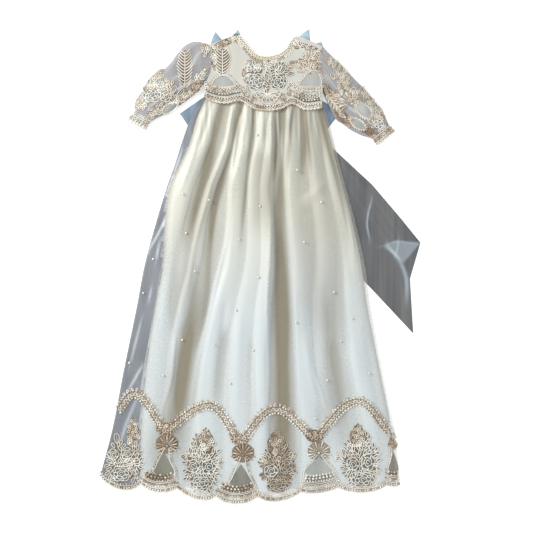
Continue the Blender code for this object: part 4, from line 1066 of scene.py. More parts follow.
def bow_loop(loop, steps=26, columns=16):
    """A small padded-looking loop that opens from its knot, with creases that run out of it."""
    knot = np.array([loop.knot_x, loop.knot_down], float)
    end = np.array([loop.end_x, loop.end_down], float)
    tip = np.array([loop.tip_x, loop.tip_down], float)
    across = (tip - end) / np.hypot(*(tip - end)) * 3
    share = np.linspace(0, 1, steps)[:, None, None]
    part = np.linspace(0, 1, columns)[None, :, None]
    low_side = (knot - across) * (1 - share) + end * share
    top_side = (knot + across) * (1 - share) + tip * share
    plan = low_side + part * (top_side - low_side)
    plan = plan + (end - knot) * 0.05 * np.sin(math.pi * part) * share ** 3
    share, part = share[..., 0], part[..., 0]
    belly = np.sin(math.pi * np.clip(part, 0.02, 0.98)) ** 0.5
    belly = belly * (0.55 + 0.45 * np.sin(math.pi * np.clip(share * 0.9, 0, 1)))
    folds = 0.16 * np.cos(part * 15 + share * 1.5) * (1 - share) ** 0.5
    top = BOW_HIGH * np.clip(belly * (0.82 + folds), 0.1, 1.1)
    count = steps * columns
    points = np.vstack([spots(plan[..., 0], plan[..., 1], high) for high in (top, 0.05 + 0 * top)])
    faces = two_sided(steps, columns)
    for row in (0, steps - 1):
        ups = row * columns + np.arange(columns - 1)
        faces.append(np.stack([ups, ups + count, ups + count + 1, ups + 1], axis=1))
    # Painted shade in the fold troughs, strongest near the knot
    painted_shade_and_tone = np.clip(0.5 - folds * 4, 0, 1) * 0.5 * (1 - share) + 0 * part
    return shell(
        loop.name + "_cloth", points, np.vstack(faces), [BOW], None, {"painted_shade_and_tone": np.tile(painted_shade_and_tone.ravel(), 2)},
        [loop.name],
    )


sash_pieces = [
    ribbon("sash_tail_right", TAIL_RIGHT, 240, 64, SASH_NOTCH),
    ribbon("sash_tail_left", TAIL_LEFT),
    ribbon("sash_band_left", BAND_LEFT, 30, 14),
    ribbon("sash_band_right", BAND_RIGHT, 30, 14),
    sash_loop("sash_loop_left", LOOP_LEFT),
    sash_loop("sash_loop_right", LOOP_RIGHT),
]
rounded("sash_knot", KNOT[0], KNOT[1] + 1.5, KNOT_LONG / 2, KNOT_WIDE / 2, KNOT_HIGH, SASH)
for bow in BOW_LOOPS:
    bow_loop(bow)
for knot_name, knot_x, knot_down in BOW_KNOTS:
    rounded(knot_name, knot_x, knot_down, 4.0, 4.0, BOW_HIGH, BOW, 6, 20, 3)


# Lace: lines of cord in plan, laid on the cloth below


def lengths(route):
    return np.concatenate([[0], np.cumsum(np.hypot(*np.diff(route, axis=0).T))])


def resampled(line, spacing):
    line = np.asarray(line, float)
    along = lengths(line)
    count = max(3, int(round(along[-1] / spacing)) + 1)
    at = np.linspace(0, along[-1], count)
    return np.column_stack([np.interp(at, along, line[:, i]) for i in (0, 1)])


def smoothed(points, spacing=1.5):
    """A curve through a few points, as a dense line."""
    points = np.asarray(points, float)
    numbers = np.arange(len(points))
    at = np.linspace(0, len(points) - 1, 12 * len(points))
    return resampled(np.column_stack([curve(numbers, points[:, i], at) for i in (0, 1)]), spacing)


def turned(line, x, down, turn):
    """Local points, right and up, turned and placed in plan."""
    line = np.asarray(line, float)
    right = line[:, 0] * math.cos(turn) - line[:, 1] * math.sin(turn)
    up = line[:, 0] * math.sin(turn) + line[:, 1] * math.cos(turn)
    return np.column_stack([x + right, down - up])


def heading(route):
    """Unit steps along a route."""
    along = np.gradient(route, axis=0)
    return along / np.maximum(1e-9, np.hypot(along[:, 0], along[:, 1]))[:, None]


def offset(route, away):
    """A line beside a route, to its left as it runs to the right."""
    along = heading(route)
    side = np.column_stack([along[:, 1], -along[:, 0]])
    return route + side * np.broadcast_to(away, len(route))[:, None]


def closed(line):
    return np.vstack([line, line[:1]])


def grown(line, share):
    """A line made larger about its middle."""
    middle = line.mean(axis=0)
    return middle + (line - middle) * share


def picots(route, pitch, size, side=1):
    """Small round loops along one side of a route."""
    route = resampled(route, 0.8)
    along = lengths(route)
    turn = 2 * math.pi * along / pitch
    places = along + size * 0.5 * np.sin(turn)
    shifted = np.column_stack([np.interp(places, along, route[:, i]) for i in (0, 1)])
    return offset(shifted, side * size * (0.5 - 0.5 * np.cos(turn)))


def petal(x, down, near, far, wide, turn):
    """A closed petal from one distance to another from a flower's middle, broader outwards."""
    t = np.linspace(0, 2 * math.pi, 13)[:-1]
    along = (near + far) / 2 + (far - near) / 2 * np.cos(t)
    side = wide / 2 * np.sin(t) * (0.82 + 0.28 * np.cos(t))
    return turned(np.column_stack([side, along]), x, down, turn)


def ring(x, down, half_x, half_down, turn=0.0, count=20):
    t = np.linspace(0, 2 * math.pi, count, endpoint=False)
    return turned(np.column_stack([half_x * np.cos(t), half_down * np.sin(t)]), x, down, turn)


def rose(x, down, long, wide, turn, petals):
    """Lines of a rose: wavy rings one in another, petal edges between them and a curled middle."""
    t = np.linspace(0, 2 * math.pi, 49)
    shares = ((1.0, 0.2, 0.0), (0.54, 0.2, 2.0))
    if long > 15:
        shares = ((1.0, 0.24, 0.0), (0.7, 0.26, 2.6), (0.38, 0.18, 0.7))
    lines = []
    for share, depth, shift in shares:
        reach = share * (1 - depth + depth * np.abs(np.cos(petals / 2 * t + shift)))
        lines.append(np.column_stack([reach * np.cos(t), reach * np.sin(t)]))
    inmost = shares[-1][0]
    for petal_number in range(petals):
        at = 2 * math.pi * (petal_number + 0.5) / petals
        steps = np.linspace(0, 1, 6)
        reach = inmost + (0.96 - inmost) * steps
        bend = at + 0.35 * np.sin(math.pi * steps)
        lines.append(np.column_stack([reach * np.cos(bend), reach * np.sin(bend)]))
    curl = np.linspace(0, 1.6 * math.pi, 14)
    lines.append(np.column_stack([inmost * 0.42 * np.cos(curl), inmost * 0.42 * np.sin(curl)]))
    return [turned(line * (long, wide), x, down, turn * 0.3) for line in lines]


def teardrop(x, down, half_wide, half_long, turn=0.0):
    """A spray's outline: narrow above, round below, with soft lobes."""
    t = np.linspace(0, 2 * math.pi, 48, endpoint=False)
    narrow = 1 - 0.5 * np.clip(np.cos(t), 0, 1) ** 1.2
    lobes = 1 + 0.04 * np.cos(9 * t)
    line = np.column_stack([half_wide * np.sin(t) * narrow * lobes, half_long * np.cos(t) * lobes])
    return turned(line, x, down, turn)


def leaflets(x, down, long, wide, turn, pairs):
    """Curved leaflets in pairs along a stalk, as single lines."""
    lines = [turned([(0, 0), (0, long * 0.96)], x, down, turn)]
    for pair in range(pairs):
        at = long * (pair + 0.1) / pairs
        reach = wide / 2 * (1 - 0.35 * abs(2 * pair / max(1, pairs - 1) - 0.9))
        t = np.linspace(0, 1, 6)
        for side in (-1, 1):
            line = np.column_stack([side * (1.2 + (reach - 1.2) * t), at + 0.8 * reach * t ** 1.5])
            lines.append(turned(line, x, down, turn))
    return lines


def arc(x, down, half_wide, rise, count=17):
    """A shallow hanging arc, its middle lower than its ends."""
    t = np.linspace(-1, 1, count)
    return np.column_stack([x + half_wide * t, down + rise * (1 - t * t)])


def inside(outline, places):
    """Which places lie in a closed outline."""
    x, y = places[:, 0], places[:, 1]
    found = np.zeros(len(places), dtype=bool)
    for (ax, ay), (bx, by) in zip(outline, np.roll(outline, -1, axis=0)):
        crosses = (ay > y) != (by > y)
        at = ax + (y - ay) * (bx - ax) / (by - ay if by != ay else 1e-9)
        found ^= crosses & (x < at)
    return found


def scattered(outline, pitch, seed, without=()):
    """Places of an uneven close-set grid inside an outline, clear of other outlines."""
    rng = np.random.default_rng(seed)
    low, high = outline.min(axis=0), outline.max(axis=0)
    rows = int((high[1] - low[1]) / (pitch * 0.87)) + 1
    columns = int((high[0] - low[0]) / pitch) + 2
    row, column = np.meshgrid(np.arange(rows), np.arange(columns), indexing="ij")
    x = low[0] + (column + 0.5 * (row % 2)) * pitch
    y = low[1] + row * pitch * 0.87
    places = np.column_stack([x.ravel(), y.ravel()]) + rng.uniform(-0.2, 0.2, (x.size, 2)) * pitch
    kept = inside(outline, places)
    for other in without:
        kept &= ~inside(other, places)
    return places[kept]


CORD_SIDES = 5


class Lace:
    """Cords, knots, beads and filled patches that make up one piece of lace."""

    def __init__(self, ground, seed):
        self.ground = ground
        self.points = []
        self.faces = []
        self.slots = []
        self.count = 0
        self.rng = np.random.default_rng(SEED + seed)

    def put(self, points, faces, slot):
        self.points.append(points)
        self.faces += [[self.count + int(i) for i in f] for f in faces]
        self.slots += [slot] * len(faces)
        self.count += len(points)

    def cords(self, lines, radius, slot, lift=0.0):
        """Round cords of a few sides along lines in plan."""
        turn = np.linspace(0, 2 * math.pi, CORD_SIDES, endpoint=False)
        lines = [resampled(line, 1.5) for line in lines]
        if not lines:
            return
        heights = np.split(self.ground(np.vstack(lines)), np.cumsum([len(line) for line in lines])[:-1])
        for line, high in zip(lines, heights):
            kept = np.convolve(np.pad(high, 1, mode="edge"), np.ones(3) / 3, mode="valid")
            high = np.maximum(high, kept) + radius * 0.55 + lift
            along = heading(line)
            side = np.column_stack([-along[:, 1], along[:, 0]])
            x = line[:, :1] + side[:, :1] * radius * np.cos(turn)[None, :]
            down = line[:, 1:] + side[:, 1:] * radius * np.cos(turn)[None, :]
            up = high[:, None] + radius * 0.85 * np.sin(turn)[None, :]
            self.put(spots(x, down, up), tube_faces(len(line), CORD_SIDES), slot)

    def fill(self, outline, slot, lift=0.12, rings=3):
        """A patch of cloth inside a closed outline, seen from its middle."""
        outline = np.asarray(outline, float)
        middle = outline.mean(axis=0)
        shares = np.linspace(1, 0, rings + 1)[:-1]
        plan = np.vstack([middle + (outline - middle) * s for s in shares] + [middle[None, :]])
        high = self.ground(plan) + lift
        faces = [list(f) for f in grid_faces(rings, len(outline), around=True)]
        first = (rings - 1) * len(outline)
        faces += [[first + i, len(plan) - 1, first + (i + 1) % len(outline)] for i in range(len(outline))]
        self.put(spots(plan[:, 0], plan[:, 1], high), faces, slot)

    def between(self, first, last, slot):
        """A patch of cloth from one line to another."""
        self.fill(np.vstack([first[::3], last[::-3]]), slot, 0.1, 4)

    def cells(self, outlines, radius, slot, fill_slot, lift=0.2):
        """Closed loops of cord, each over its own small patch of dark cloth."""
        outlines = [np.asarray(o, float) for o in outlines]
        if fill_slot is not None:
            for outline in outlines:
                self.fill(outline, fill_slot, lift, 1)
        self.cords([closed(o) for o in outlines], radius, slot, lift)

    def leaves(self, outline, pitch, seed, without, slots, fill_slot, radius=0.8):
        """Small leaves set close at all angles inside an outline."""
        slots = (slots,) if isinstance(slots, int) else slots
        middle, low = np.mean(outline, axis=0)
        for x, down in scattered(outline, pitch, seed, without):
            slot = slots[int(self.rng.integers(0, len(slots)))]
            turn = math.atan2(middle - x, low + pitch - down) + self.rng.uniform(-0.6, 0.6)
            shape = petal(x, down, -pitch * 0.6, pitch * 0.7, pitch * 0.68, turn)
            self.cells([shape], radius, slot, fill_slot, 0.25)

    def loops(self, places, size, slots, fill_slot=None, radius=0.85):
        """Small round loops of cord, a little uneven."""
        slots = (slots,) if isinstance(slots, int) else slots
        chosen = self.rng.integers(0, len(slots), len(places))
        for pick, slot in enumerate(slots):
            outlines = []
            for x, down in np.asarray(places)[chosen == pick]:
                grow = self.rng.uniform(0.85, 1.15)
                outlines.append(ring(x, down, size * grow, size * grow * 0.85, self.rng.uniform(0, 3), 9))
            self.cells(outlines, radius, slot, fill_slot)

    def band(self, route, low, high, slot):
        """A strip of cloth along a route, between two distances from it."""
        route = resampled(route, 2.0)
        rows = [offset(route, away) for away in np.linspace(low, high, 5)]
        heights = [self.ground(row) + 0.1 for row in rows]
        points = np.vstack([spots(row[:, 0], row[:, 1], h) for row, h in zip(rows, heights)])
        self.put(points, grid_faces(5, len(route)), slot)

    def beads(self, places, radius, slots, flat=0.85, rings=4, around=6, vary=0.15):
        """Small round knots or beads; several slots are dealt out unevenly."""
        places = np.asarray(places, float)
        if not len(places):
            return
        high = self.ground(np.vstack([places, places[-1:]]))[:-1]
        slots = (slots,) if isinstance(slots, int) else slots
        chosen = self.rng.integers(0, len(slots), len(places))
        sizes = radius * self.rng.uniform(1 - vary, 1 + vary, len(places))
        tilt = np.linspace(0.25, math.pi - 0.25, rings)[:, None]
        turn = np.linspace(0, 2 * math.pi, around, endpoint=False)[None, :]
        faces = tube_faces(rings, around)
        for (x, down), low, size, pick in zip(places, high, sizes, chosen):
            px = x + size * np.sin(tilt) * np.cos(turn)
            pd = down + size * np.sin(tilt) * np.sin(turn)
            up = low + size * flat * (0.8 + np.cos(tilt)) + 0 * turn
            self.put(spots(px, pd, up), faces, slots[pick])

    def row(self, line, pitch, radius, slots):
        """Knots along a line, each a little off its place."""
        places = resampled(line, pitch)
        self.beads(places + self.rng.uniform(-0.5, 0.5, places.shape), radius, slots)

    def make(self, name, nodes, materials):
        points = np.vstack(self.points)
        return shell(name, points, self.faces, materials, self.slots, None, nodes)


NET_GROUND = Ground(overlay)
BODICE_GROUND = Ground(bodice_front)
LEFT_GROUND = Ground(sleeve_left, cuff_left)
RIGHT_GROUND = Ground(sleeve_right, cuff_right)
# The cloths of every lace piece, by slot number
LIGHT, MID, TAN, DARK_FILL, NET_FILL, TAN_GROUND, CREAM_GROUND, BEAD = range(8)
LACE_CLOTHS = [CORD_LIGHT, CORD, CORD_TAN, FILL, PATCH, GROUND_TAN, GROUND_CREAM, PEARL]
BODICE_CLOTHS = [CORD_LIGHT, CORD, CORD_TAN, FILL, PATCH_PALE, GROUND_TAN, GROUND_CREAM, PEARL]
PALE_MIX = (LIGHT, LIGHT, MID)
TAN_MIX = (MID, TAN, TAN)


def garland_route():
    parts = []
    for arch in GARLAND:
        share = np.linspace(0, 1, 48, endpoint=False)
        rising = share < 0.5
        part = np.where(rising, share * 2, 2 - share * 2)
        soft = np.sin(part * math.pi / 2) ** 1.25
        start = np.where(rising, arch.left_down, arch.right_down)
        near = np.where(rising, arch.left, arch.right)
        x = near + (arch.peak - near) * part
        parts.append(np.column_stack([x, start + (arch.peak_down - start) * soft]))
    return np.vstack(parts)


def hem_garland():
    """Two wound cords with eyes between them, and knots and loops down both sides."""
    lace = Lace(NET_GROUND, 1)
    route = resampled(garland_route() + np.array([0, 3.0]), 1.4)
    along = lengths(route)
    lace.band(route, -GARLAND_HALF, GARLAND_HALF, CREAM_GROUND)
    for strand in (0.0, 0.5):
        wave = CORD_SWING * np.sin(2 * math.pi * (along / CORD_PITCH + strand))
        lace.cords([offset(route, wave)], 0.95, LIGHT if strand else MID)
    knots = np.vstack([resampled(offset(route, away), 6.0) for away in (7.2, -6.8)])
    knots += lace.rng.uniform(-0.8, 0.8, knots.shape)
    # Painted shade where the skirt's valleys meet the garland: tan knots near the cusps and a tan patch
    # under each cusp
    cusps = np.array([(arch.left, arch.left_down) for arch in GARLAND[1:]])
    near = np.min(np.hypot(*(knots[:, None, :] - cusps[None, :, :]).transpose(2, 0, 1)), axis=1) < 26
    lace.beads(knots[near], 2.2, TAN_MIX)
    lace.beads(knots[~near], 2.2, PALE_MIX)
    for x, down in cusps:
        outline = ring(x, down - 4, 18, 12)
        lace.fill(outline, TAN_GROUND, 0.15)
        lace.beads(scattered(outline, 5.6, int(down)), 2.0, TAN_MIX)
    lace.loops(resampled(offset(route, 10.0), 9.5), 2.3, (LIGHT, MID), None, 0.8)
    return lace.make("hem_garland_lace", ["hem_garland"], LACE_CLOTHS)


def hem_line(inset, first=-320.0, last=264.0):
    x = np.linspace(first, last, 900)
    return resampled(np.column_stack([x, hem_edge(x) - inset]), 1.2)


def hem_edging():
    lace = Lace(NET_GROUND, 2)
    lace.band(hem_line(4.2), -3.0, 2.6, CREAM_GROUND)
    lace.cords([hem_line(0.9)], 0.9, LIGHT)
    lace.cords([picots(hem_line(0.6), 5.8, 3.0, -1)], 0.75, LIGHT)
    lace.row(hem_line(4.2), 5.0, 1.9, (LIGHT, LIGHT, LIGHT, TAN))
    lace.cords([hem_line(7.8)], 0.85, LIGHT)
    lace.row(hem_line(10.8), 6.0, 1.6, (LIGHT, MID))
    return lace.make("hem_edging_lace", ["hem_edging"], LACE_CLOTHS)


# Flowers of the lace at pixel places; long and wide in millimetres, turn in degrees. A rose's two
# sizes are its reach across and down, a ground's and a cluster's their half sizes across and down,
# and a burst's wide is its spread to each side in degrees. The count is a rose's petals, a frond's
# pairs of leaflets, a burst's strands, or the seed of a ground.
Flower = namedtuple("Flower", "kind x y long wide turn count")
BOUQUETS = (
    rows_of(Flower, (
        ("ground", 119, 462, 27, 44, 0, 1), ("cluster", 133, 432, 12, 26, 0, 0),
        ("ground", 133, 458, 17, 46, 4, 2), ("leaf", 117, 444, 20, 12, 5, 0),
        ("rose", 113, 455, 11, 11, 10, 4), ("rose", 127, 454, 12, 12, 40, 5),
        ("rose", 121, 474, 21, 16, 0, 6), ("leaf", 128, 445, 14, 8, -20, 0),
    )),
    rows_of(Flower, (
        ("ground", 202, 461, 38, 60, 0, 3), ("cluster", 206, 440, 15, 24, 0, 0),
        ("leaf", 188, 461, 18, 10, 50, 0), ("leaf", 192, 457, 20, 9, 12, 0),
        ("leaf", 199, 457, 18, 9, 0, 0), ("rose", 203, 447, 7, 7, 0, 4),
        ("rose", 193, 466, 14, 13, 10, 5), ("rose", 209, 467, 14, 15, 30, 5),
        ("rose", 201, 484, 21, 15, 0, 6), ("column", 219, 456, 9, 22, 0, 0),
        ("column", 187, 449, 5, 18, -8, 0),
    )),
    rows_of(Flower, (
        ("ground", 278, 462, 36, 56, 0, 4), ("cluster", 276, 443, 17, 24, 0, 0),
        ("leaf", 276, 456, 14, 9, 10, 0), ("leaf", 268, 463, 14, 9, 60, 0),
        ("rose", 271, 471, 14, 12, 0, 5), ("rose", 287, 467, 16, 15, 25, 5),
        ("rose", 278, 486, 22, 14, 0, 6), ("column", 263, 452, 5, 28, 10, 0),
    )),
    rows_of(Flower, (
        ("ground", 360, 458, 38, 60, 0, 5), ("cluster", 358, 436, 16, 24, 0, 0),
        ("leaf", 345, 458, 20, 9, 10, 0), ("leaf", 352, 452, 16, 9, 30, 0),
        ("leaf", 357, 447, 14, 9, -30, 0), ("leaf", 343, 459, 15, 9, 85, 0),
        ("rose", 353, 464, 13, 13, 0, 5), ("rose", 368, 462, 14, 17, 20, 5),
        ("rose", 363, 480, 22, 16, 0, 6), ("column", 377, 456, 6, 34, 0, 0),
        ("column", 338, 450, 5, 22, -12, 0),
    )),
)
BOUQUET_TONES = ((LIGHT,), (LIGHT,), (MID, MID, TAN, LIGHT), (LIGHT,))


def flower_outline(item):
    x, down = place_of(item.x, item.y)
    turn = math.radians(item.turn)
    if item.kind == "rose":
        return ring(x, down, item.long, item.wide)
    if item.kind == "cluster":
        return teardrop(x, down, item.long, item.wide, turn)
    return petal(x, down, 0, item.long, item.wide, turn)


def flowers(lace, table, tones=(LIGHT,), fill_slot=DARK_FILL, radius=0.85):
    solid_kinds = [item for item in table if item.kind in ("rose", "leaf", "cluster")]
    for item in table:
        x, down = place_of(item.x, item.y)
        turn = math.radians(item.turn)
        slot = tones[int(lace.rng.integers(0, len(tones)))]
        if item.kind == "rose":
            lace.fill(ring(x, down, item.long, item.wide), fill_slot, 0.3)
            lace.cords(rose(x, down, item.long, item.wide, turn, item.count), radius, slot, lift=0.35)
        elif item.kind == "leaf":
            lace.cells([flower_outline(item)], radius, slot, fill_slot, 0.4)
            lace.cords([turned([(0, 0), (0, item.long * 0.85)], x, down, turn)], 0.6, slot, lift=0.3)
        elif item.kind == "ground":
            outline = teardrop(x, down, item.long, item.wide, turn)
            kept_off = [flower_outline(other) for other in solid_kinds]
            lace.fill(teardrop(x, down, item.long * 0.88, item.wide * 0.92, turn), TAN_GROUND, 0.05, 4)
            lace.leaves(outline, 8.6, item.count, kept_off, tones, fill_slot)
        elif item.kind == "cluster":
            outline = flower_outline(item)
            lace.fill(outline, TAN_GROUND, 0.1)
            lace.loops(scattered(outline, 6.4, int(item.x)), 2.5, tones + (MID,), None, 0.8)
        elif item.kind == "column":
            half = item.long / 2
            corners = [(-half, 0), (-half, -item.wide), (half, -item.wide), (half, 0)]
            outline = turned(corners, x, down, turn)
            lace.loops(scattered(outline, 6.0, int(item.x)), 2.2, tones, None, 0.8)
        elif item.kind == "frond":
            lace.fill(petal(x, down, -2, item.long, item.wide * 0.95, turn), TAN_GROUND, 0.3, 4)
            lace.cords(leaflets(x, down, item.long, item.wide, turn, item.count), 0.9, slot, lift=0.1)
        elif item.kind == "burst":
            spread = math.radians(item.wide)
            for strand in range(item.count):
                lean = spread * (2 * strand / (item.count - 1) - 1)
                reach = item.long * (1 if strand % 2 else 0.86)
                near = item.long * (0.38 if strand % 2 else 0.25)
                line = turned([(0, near), (0, reach)], x, down, turn - lean)
                shade = slot if strand % 2 else MID
                lace.cords([line], 0.8, shade, lift=0.1)
                thick = line[0] + (line[1] - line[0]) * np.array([[0.4], [0.96]])
                lace.cords([thick], 1.45, shade, lift=0.2)
            lace.beads([(x, down)], 2.4, slot)


def bouquet(number, table, tones):
    lace = Lace(NET_GROUND, 10 + number)
    flowers(lace, table, tones)
    return lace.make(f"hem_bouquet_{number}_lace", [f"hem_bouquet_{number}"], LACE_CLOTHS)


# Burst and patch at pixel places, the scallop's ends in millimetres, the patch's half width in
# pixels, and the cloths of cords, burst and ground
Fan = namedtuple("Fan", "burst_x burst_y top_x top_y left right half cord burst ground")
FANS = rows_of(Fan, (
    (167, 446, 164, 453, -241, -170, 10, TAN, TAN, TAN_GROUND),
    (243, 455, 241, 464, -94, -12, 11, TAN, TAN, TAN_GROUND),
    (319, 453, 319, 457, 72, 146, 14, LIGHT, LIGHT, CREAM_GROUND),
    (393, 446, 394, 452, 240, 264, 5, TAN, MID, TAN_GROUND),
))


def fan(number, item):
    """A burst of leaves over a net patch, and below it rows of knots along the scallop."""
    lace = Lace(NET_GROUND, 20 + number)
    x, down = place_of(item.burst_x, item.burst_y)
    narrow = number == 4
    size = 0.45 if narrow else 1.0
    lace.fill(ring(x, down - 4 * size, 22 * size, 19 * size), item.ground, 0.1)
    if narrow:
        lace.loops(scattered(ring(x, down - 6, 7, 22), 5.6, 4), 2.1, (MID, TAN), None)
    else:
        burst = [Flower("burst", item.burst_x, item.burst_y, 24, 118, 0, 13)]
        flowers(lace, burst, (item.burst,))
    top_x, top_down = place_of(item.top_x, item.top_y)
    insets = (13, 18.5, 24, 29.5, 35) if not narrow else (13, 18, 23, 28)
    middle = (item.left + item.right) / 2
    half = (item.right - item.left) / 2
    spans = []
    for index, inset in enumerate(insets):
        share = 0.92 - 0.06 * index
        spans.append(hem_line(inset, middle - half * share, middle + half * share))
    lace.between(spans[0], spans[-1], item.ground)
    tones = (LIGHT, item.cord) if item.cord == LIGHT else (LIGHT, MID, TAN)
    for index, line in enumerate(spans):
        if index == 1:
            lace.cords([line, line + np.array([0, -3.0])], 0.85, LIGHT)
            lace.cords([line + np.array([0, -1.5])], 0.6, DARK_FILL)
        elif index > 2:
            lace.row(line, 6.8, 2.3, tones)
        elif index == 2:
            lace.row(line, 5.6, 1.7, tones)
        else:
            lace.loops(resampled(line, 6.4), 2.5, tones, None, 0.8)
    low = spans[-1][len(spans[-1]) // 2][1] - 2
    wide = item.half * PIXEL
    shoulder = top_down + (low - top_down) * 0.35
    flank = [(0.45, shoulder), (0.95, top_down + (low - top_down) * 0.8), (0.9, low - 1)]
    dome = [(top_x, top_down)] + [(top_x + wide * out, at) for out, at in flank]
    dome += [(top_x, low + 3)] + [(top_x - wide * out, at) for out, at in flank[::-1]]
    lace.fill(smoothed(closed(np.array(dome)), 3.0)[:-1], NET_FILL, 0.25, 4)
    for side in (-1, 1):
        if narrow and side == 1:
            continue
        corner = (middle + side * half * 0.90, spans[0][0 if side < 0 else -1][1] - 2)
        line = smoothed([
            (x + side * 4 * size, down + 4), (top_x + side * wide * 0.58, shoulder),
            (top_x + side * (wide + 1), low - 7), corner,
        ])
        lace.cords([line], 0.9, LIGHT)
        lace.row(line + np.array([side * 3.6, 0.0]), 5.2, 1.6, tones)
    cloths = BODICE_CLOTHS if item.cord == LIGHT else LACE_CLOTHS
    return lace.make(f"hem_fan_{number}_lace", [f"hem_fan_{number}"], cloths)


# Bodice lace


def neck_trim():
    x = np.linspace(-49, 63, 400)
    route = resampled(np.column_stack([x, edge_read(BODICE_UPPER, x) + 5.0]), 1.2)
    lace = Lace(BODICE_GROUND, 3)
    lace.band(route, -4.0, 4.2, 0)
    lace.cords([offset(route, 3.8)], 0.95, 1)
    lace.cords([picots(offset(route, 4.2), 5.2, 2.2)], 0.8, 1)
    lace.loops(resampled(offset(route, -0.6), 6.2), 2.5, 1, None, 0.85)
    lace.loops(resampled(offset(route, -6.4), 7.4), 2.4, (1, 1, 2), None, 0.75)
    return lace.make("neck_trim_lace", ["neck_trim"], [GROUND_CREAM, CORD_YELLOW, CORD_TAN])


def waist_line(up, first=-114.0, last=111.0):
    x = np.linspace(first, last, 500)
    return resampled(np.column_stack([x, edge_read(BODICE_LOWER, x) - up]), 1.2)


def bodice_edging():
    lace = Lace(BODICE_GROUND, 4)
    lace.band(waist_line(4.8), -4.4, 4.6, TAN_GROUND)
    lace.cords([waist_line(1.0)], 0.9, LIGHT)
    lace.row(waist_line(8.8), 5.2, 1.6, PALE_MIX)
    lace.cords([picots(waist_line(0.6), 7.2, 3.6, -1)], 0.75, MID)
    lace.loops(resampled(waist_line(4.8), 6.2), 2.4, PALE_MIX, None, 0.8)
    return lace.make("bodice_edging_lace", ["bodice_edging"], BODICE_CLOTHS)


CENTRE = rows_of(Flower, (
    ("rose", 255.7, 82, 18.5, 17, 15, 6), ("rose", 277.5, 81.5, 18, 16, 0, 6),
    ("leaf", 270, 73, 19, 9, 20, 0), ("leaf", 276, 71, 17, 9, -10, 0), ("leaf", 280, 74, 18, 9, -35, 0),
    ("leaf", 285, 76, 18, 9, -68, 0), ("leaf", 268, 82, 17, 8, 15, 0), ("leaf", 265, 66, 15, 8, -72, 0),
    ("leaf", 248, 72, 13, 7, 25, 0), ("leaf", 288, 82, 15, 8, -140, 0), ("leaf", 267, 94, 21, 8, 98, 0),
    ("leaf", 267, 94, 20, 9, 124, 0), ("leaf", 267.5, 94, 18, 9, 152, 0),
    ("leaf", 268, 94, 17, 9, 180, 0), ("leaf", 268.5, 94, 18, 9, 208, 0),
    ("leaf", 269, 94, 20, 9, 236, 0), ("leaf", 269, 94, 21, 8, 262, 0),
    ("ground", 279, 70, 24, 17, 0, 6), ("ground", 253, 70, 22, 13, 0, 7),
    ("ground", 267, 83, 7, 20, 0, 8),
))
# Grounds of small loops: centre at a pixel place, half sizes in millimetres and turn
Patch = namedtuple("Patch", "x y half_wide half_long turn")
CENTRE_LOOPS = rows_of(Patch, (
    (256, 65, 22, 9, -0.25), (246, 77, 7, 16, 0.3), (290, 66, 13, 7, 0.9), (291, 90, 8, 14, -0.4),
    (246, 92, 8, 12, 0.4), (256, 97, 12, 7, 0.6), (281, 97, 12, 7, -0.6),
))


def patch_outline(item):
    x, down = place_of(item.x, item.y)
    return ring(x, down, item.half_wide, item.half_long, item.turn)


def centre_lace():
    lace = Lace(BODICE_GROUND, 5)
    kept_off = [flower_outline(item) for item in CENTRE]
    for number, item in enumerate(CENTRE_LOOPS):
        outline = patch_outline(item)
        lace.fill(outline, CREAM_GROUND, 0.05, 4)
        lace.loops(scattered(outline, 6.2, 31 + number, kept_off), 2.3, PALE_MIX, None, 0.75)
    x, down = place_of(268, 96)
    half_round = arc(x, down - 6, 25, 22, 25)
    lace.cords([half_round], 0.8, LIGHT)
    lace.row(half_round + np.array([0, 3.4]), 5.4, 1.3, (LIGHT, MID))
    flowers(lace, CENTRE, (LIGHT,), DARK_FILL, 0.78)
    return lace.make("bodice_centre_lace", ["bodice_lace_centre"], BODICE_CLOTHS)


def column_lace(node, table, grounds, tones, seed):
    """Leaves up the side of the bodice over grounds of small loops."""
    lace = Lace(BODICE_GROUND, seed)
    for item in grounds:
        outline = patch_outline(item)
        lace.fill(outline, TAN_GROUND, 0.1)
        lace.loops(scattered(outline, 6.2, seed), 2.4, PALE_MIX, None, 0.8)
    flowers(lace, table, tones)
    return lace.make(node + "_lace", [node], BODICE_CLOTHS)


LEAVES_LEFT = (Flower("frond", 222.5, 76, 54, 36, 0, 9),)
LEAVES_LEFT_LOOPS = rows_of(Patch, ((224, 43, 28, 7, 0.42), (236, 38, 9, 9, 0.3), (214, 58, 6, 22, 0.0)))
LEAVES_RIGHT = rows_of(Flower, (
    ("burst", 309, 73, 27, 84, 0, 11), ("burst", 309, 60, 20, 70, 0, 7),
    ("leaf", 300, 66, 14, 6, 40, 0),
))
LEAVES_RIGHT_LOOPS = rows_of(Patch, (
    (310, 48, 25, 6, -0.35), (297, 45, 7, 8, 0.0), (319, 56, 7, 12, 0.2), (309, 63, 24, 15, 0.0),
))


# Heights over the waist seam of the rows under a dome
BASKET_UPS = (12.5, 17.5, 23, 29)


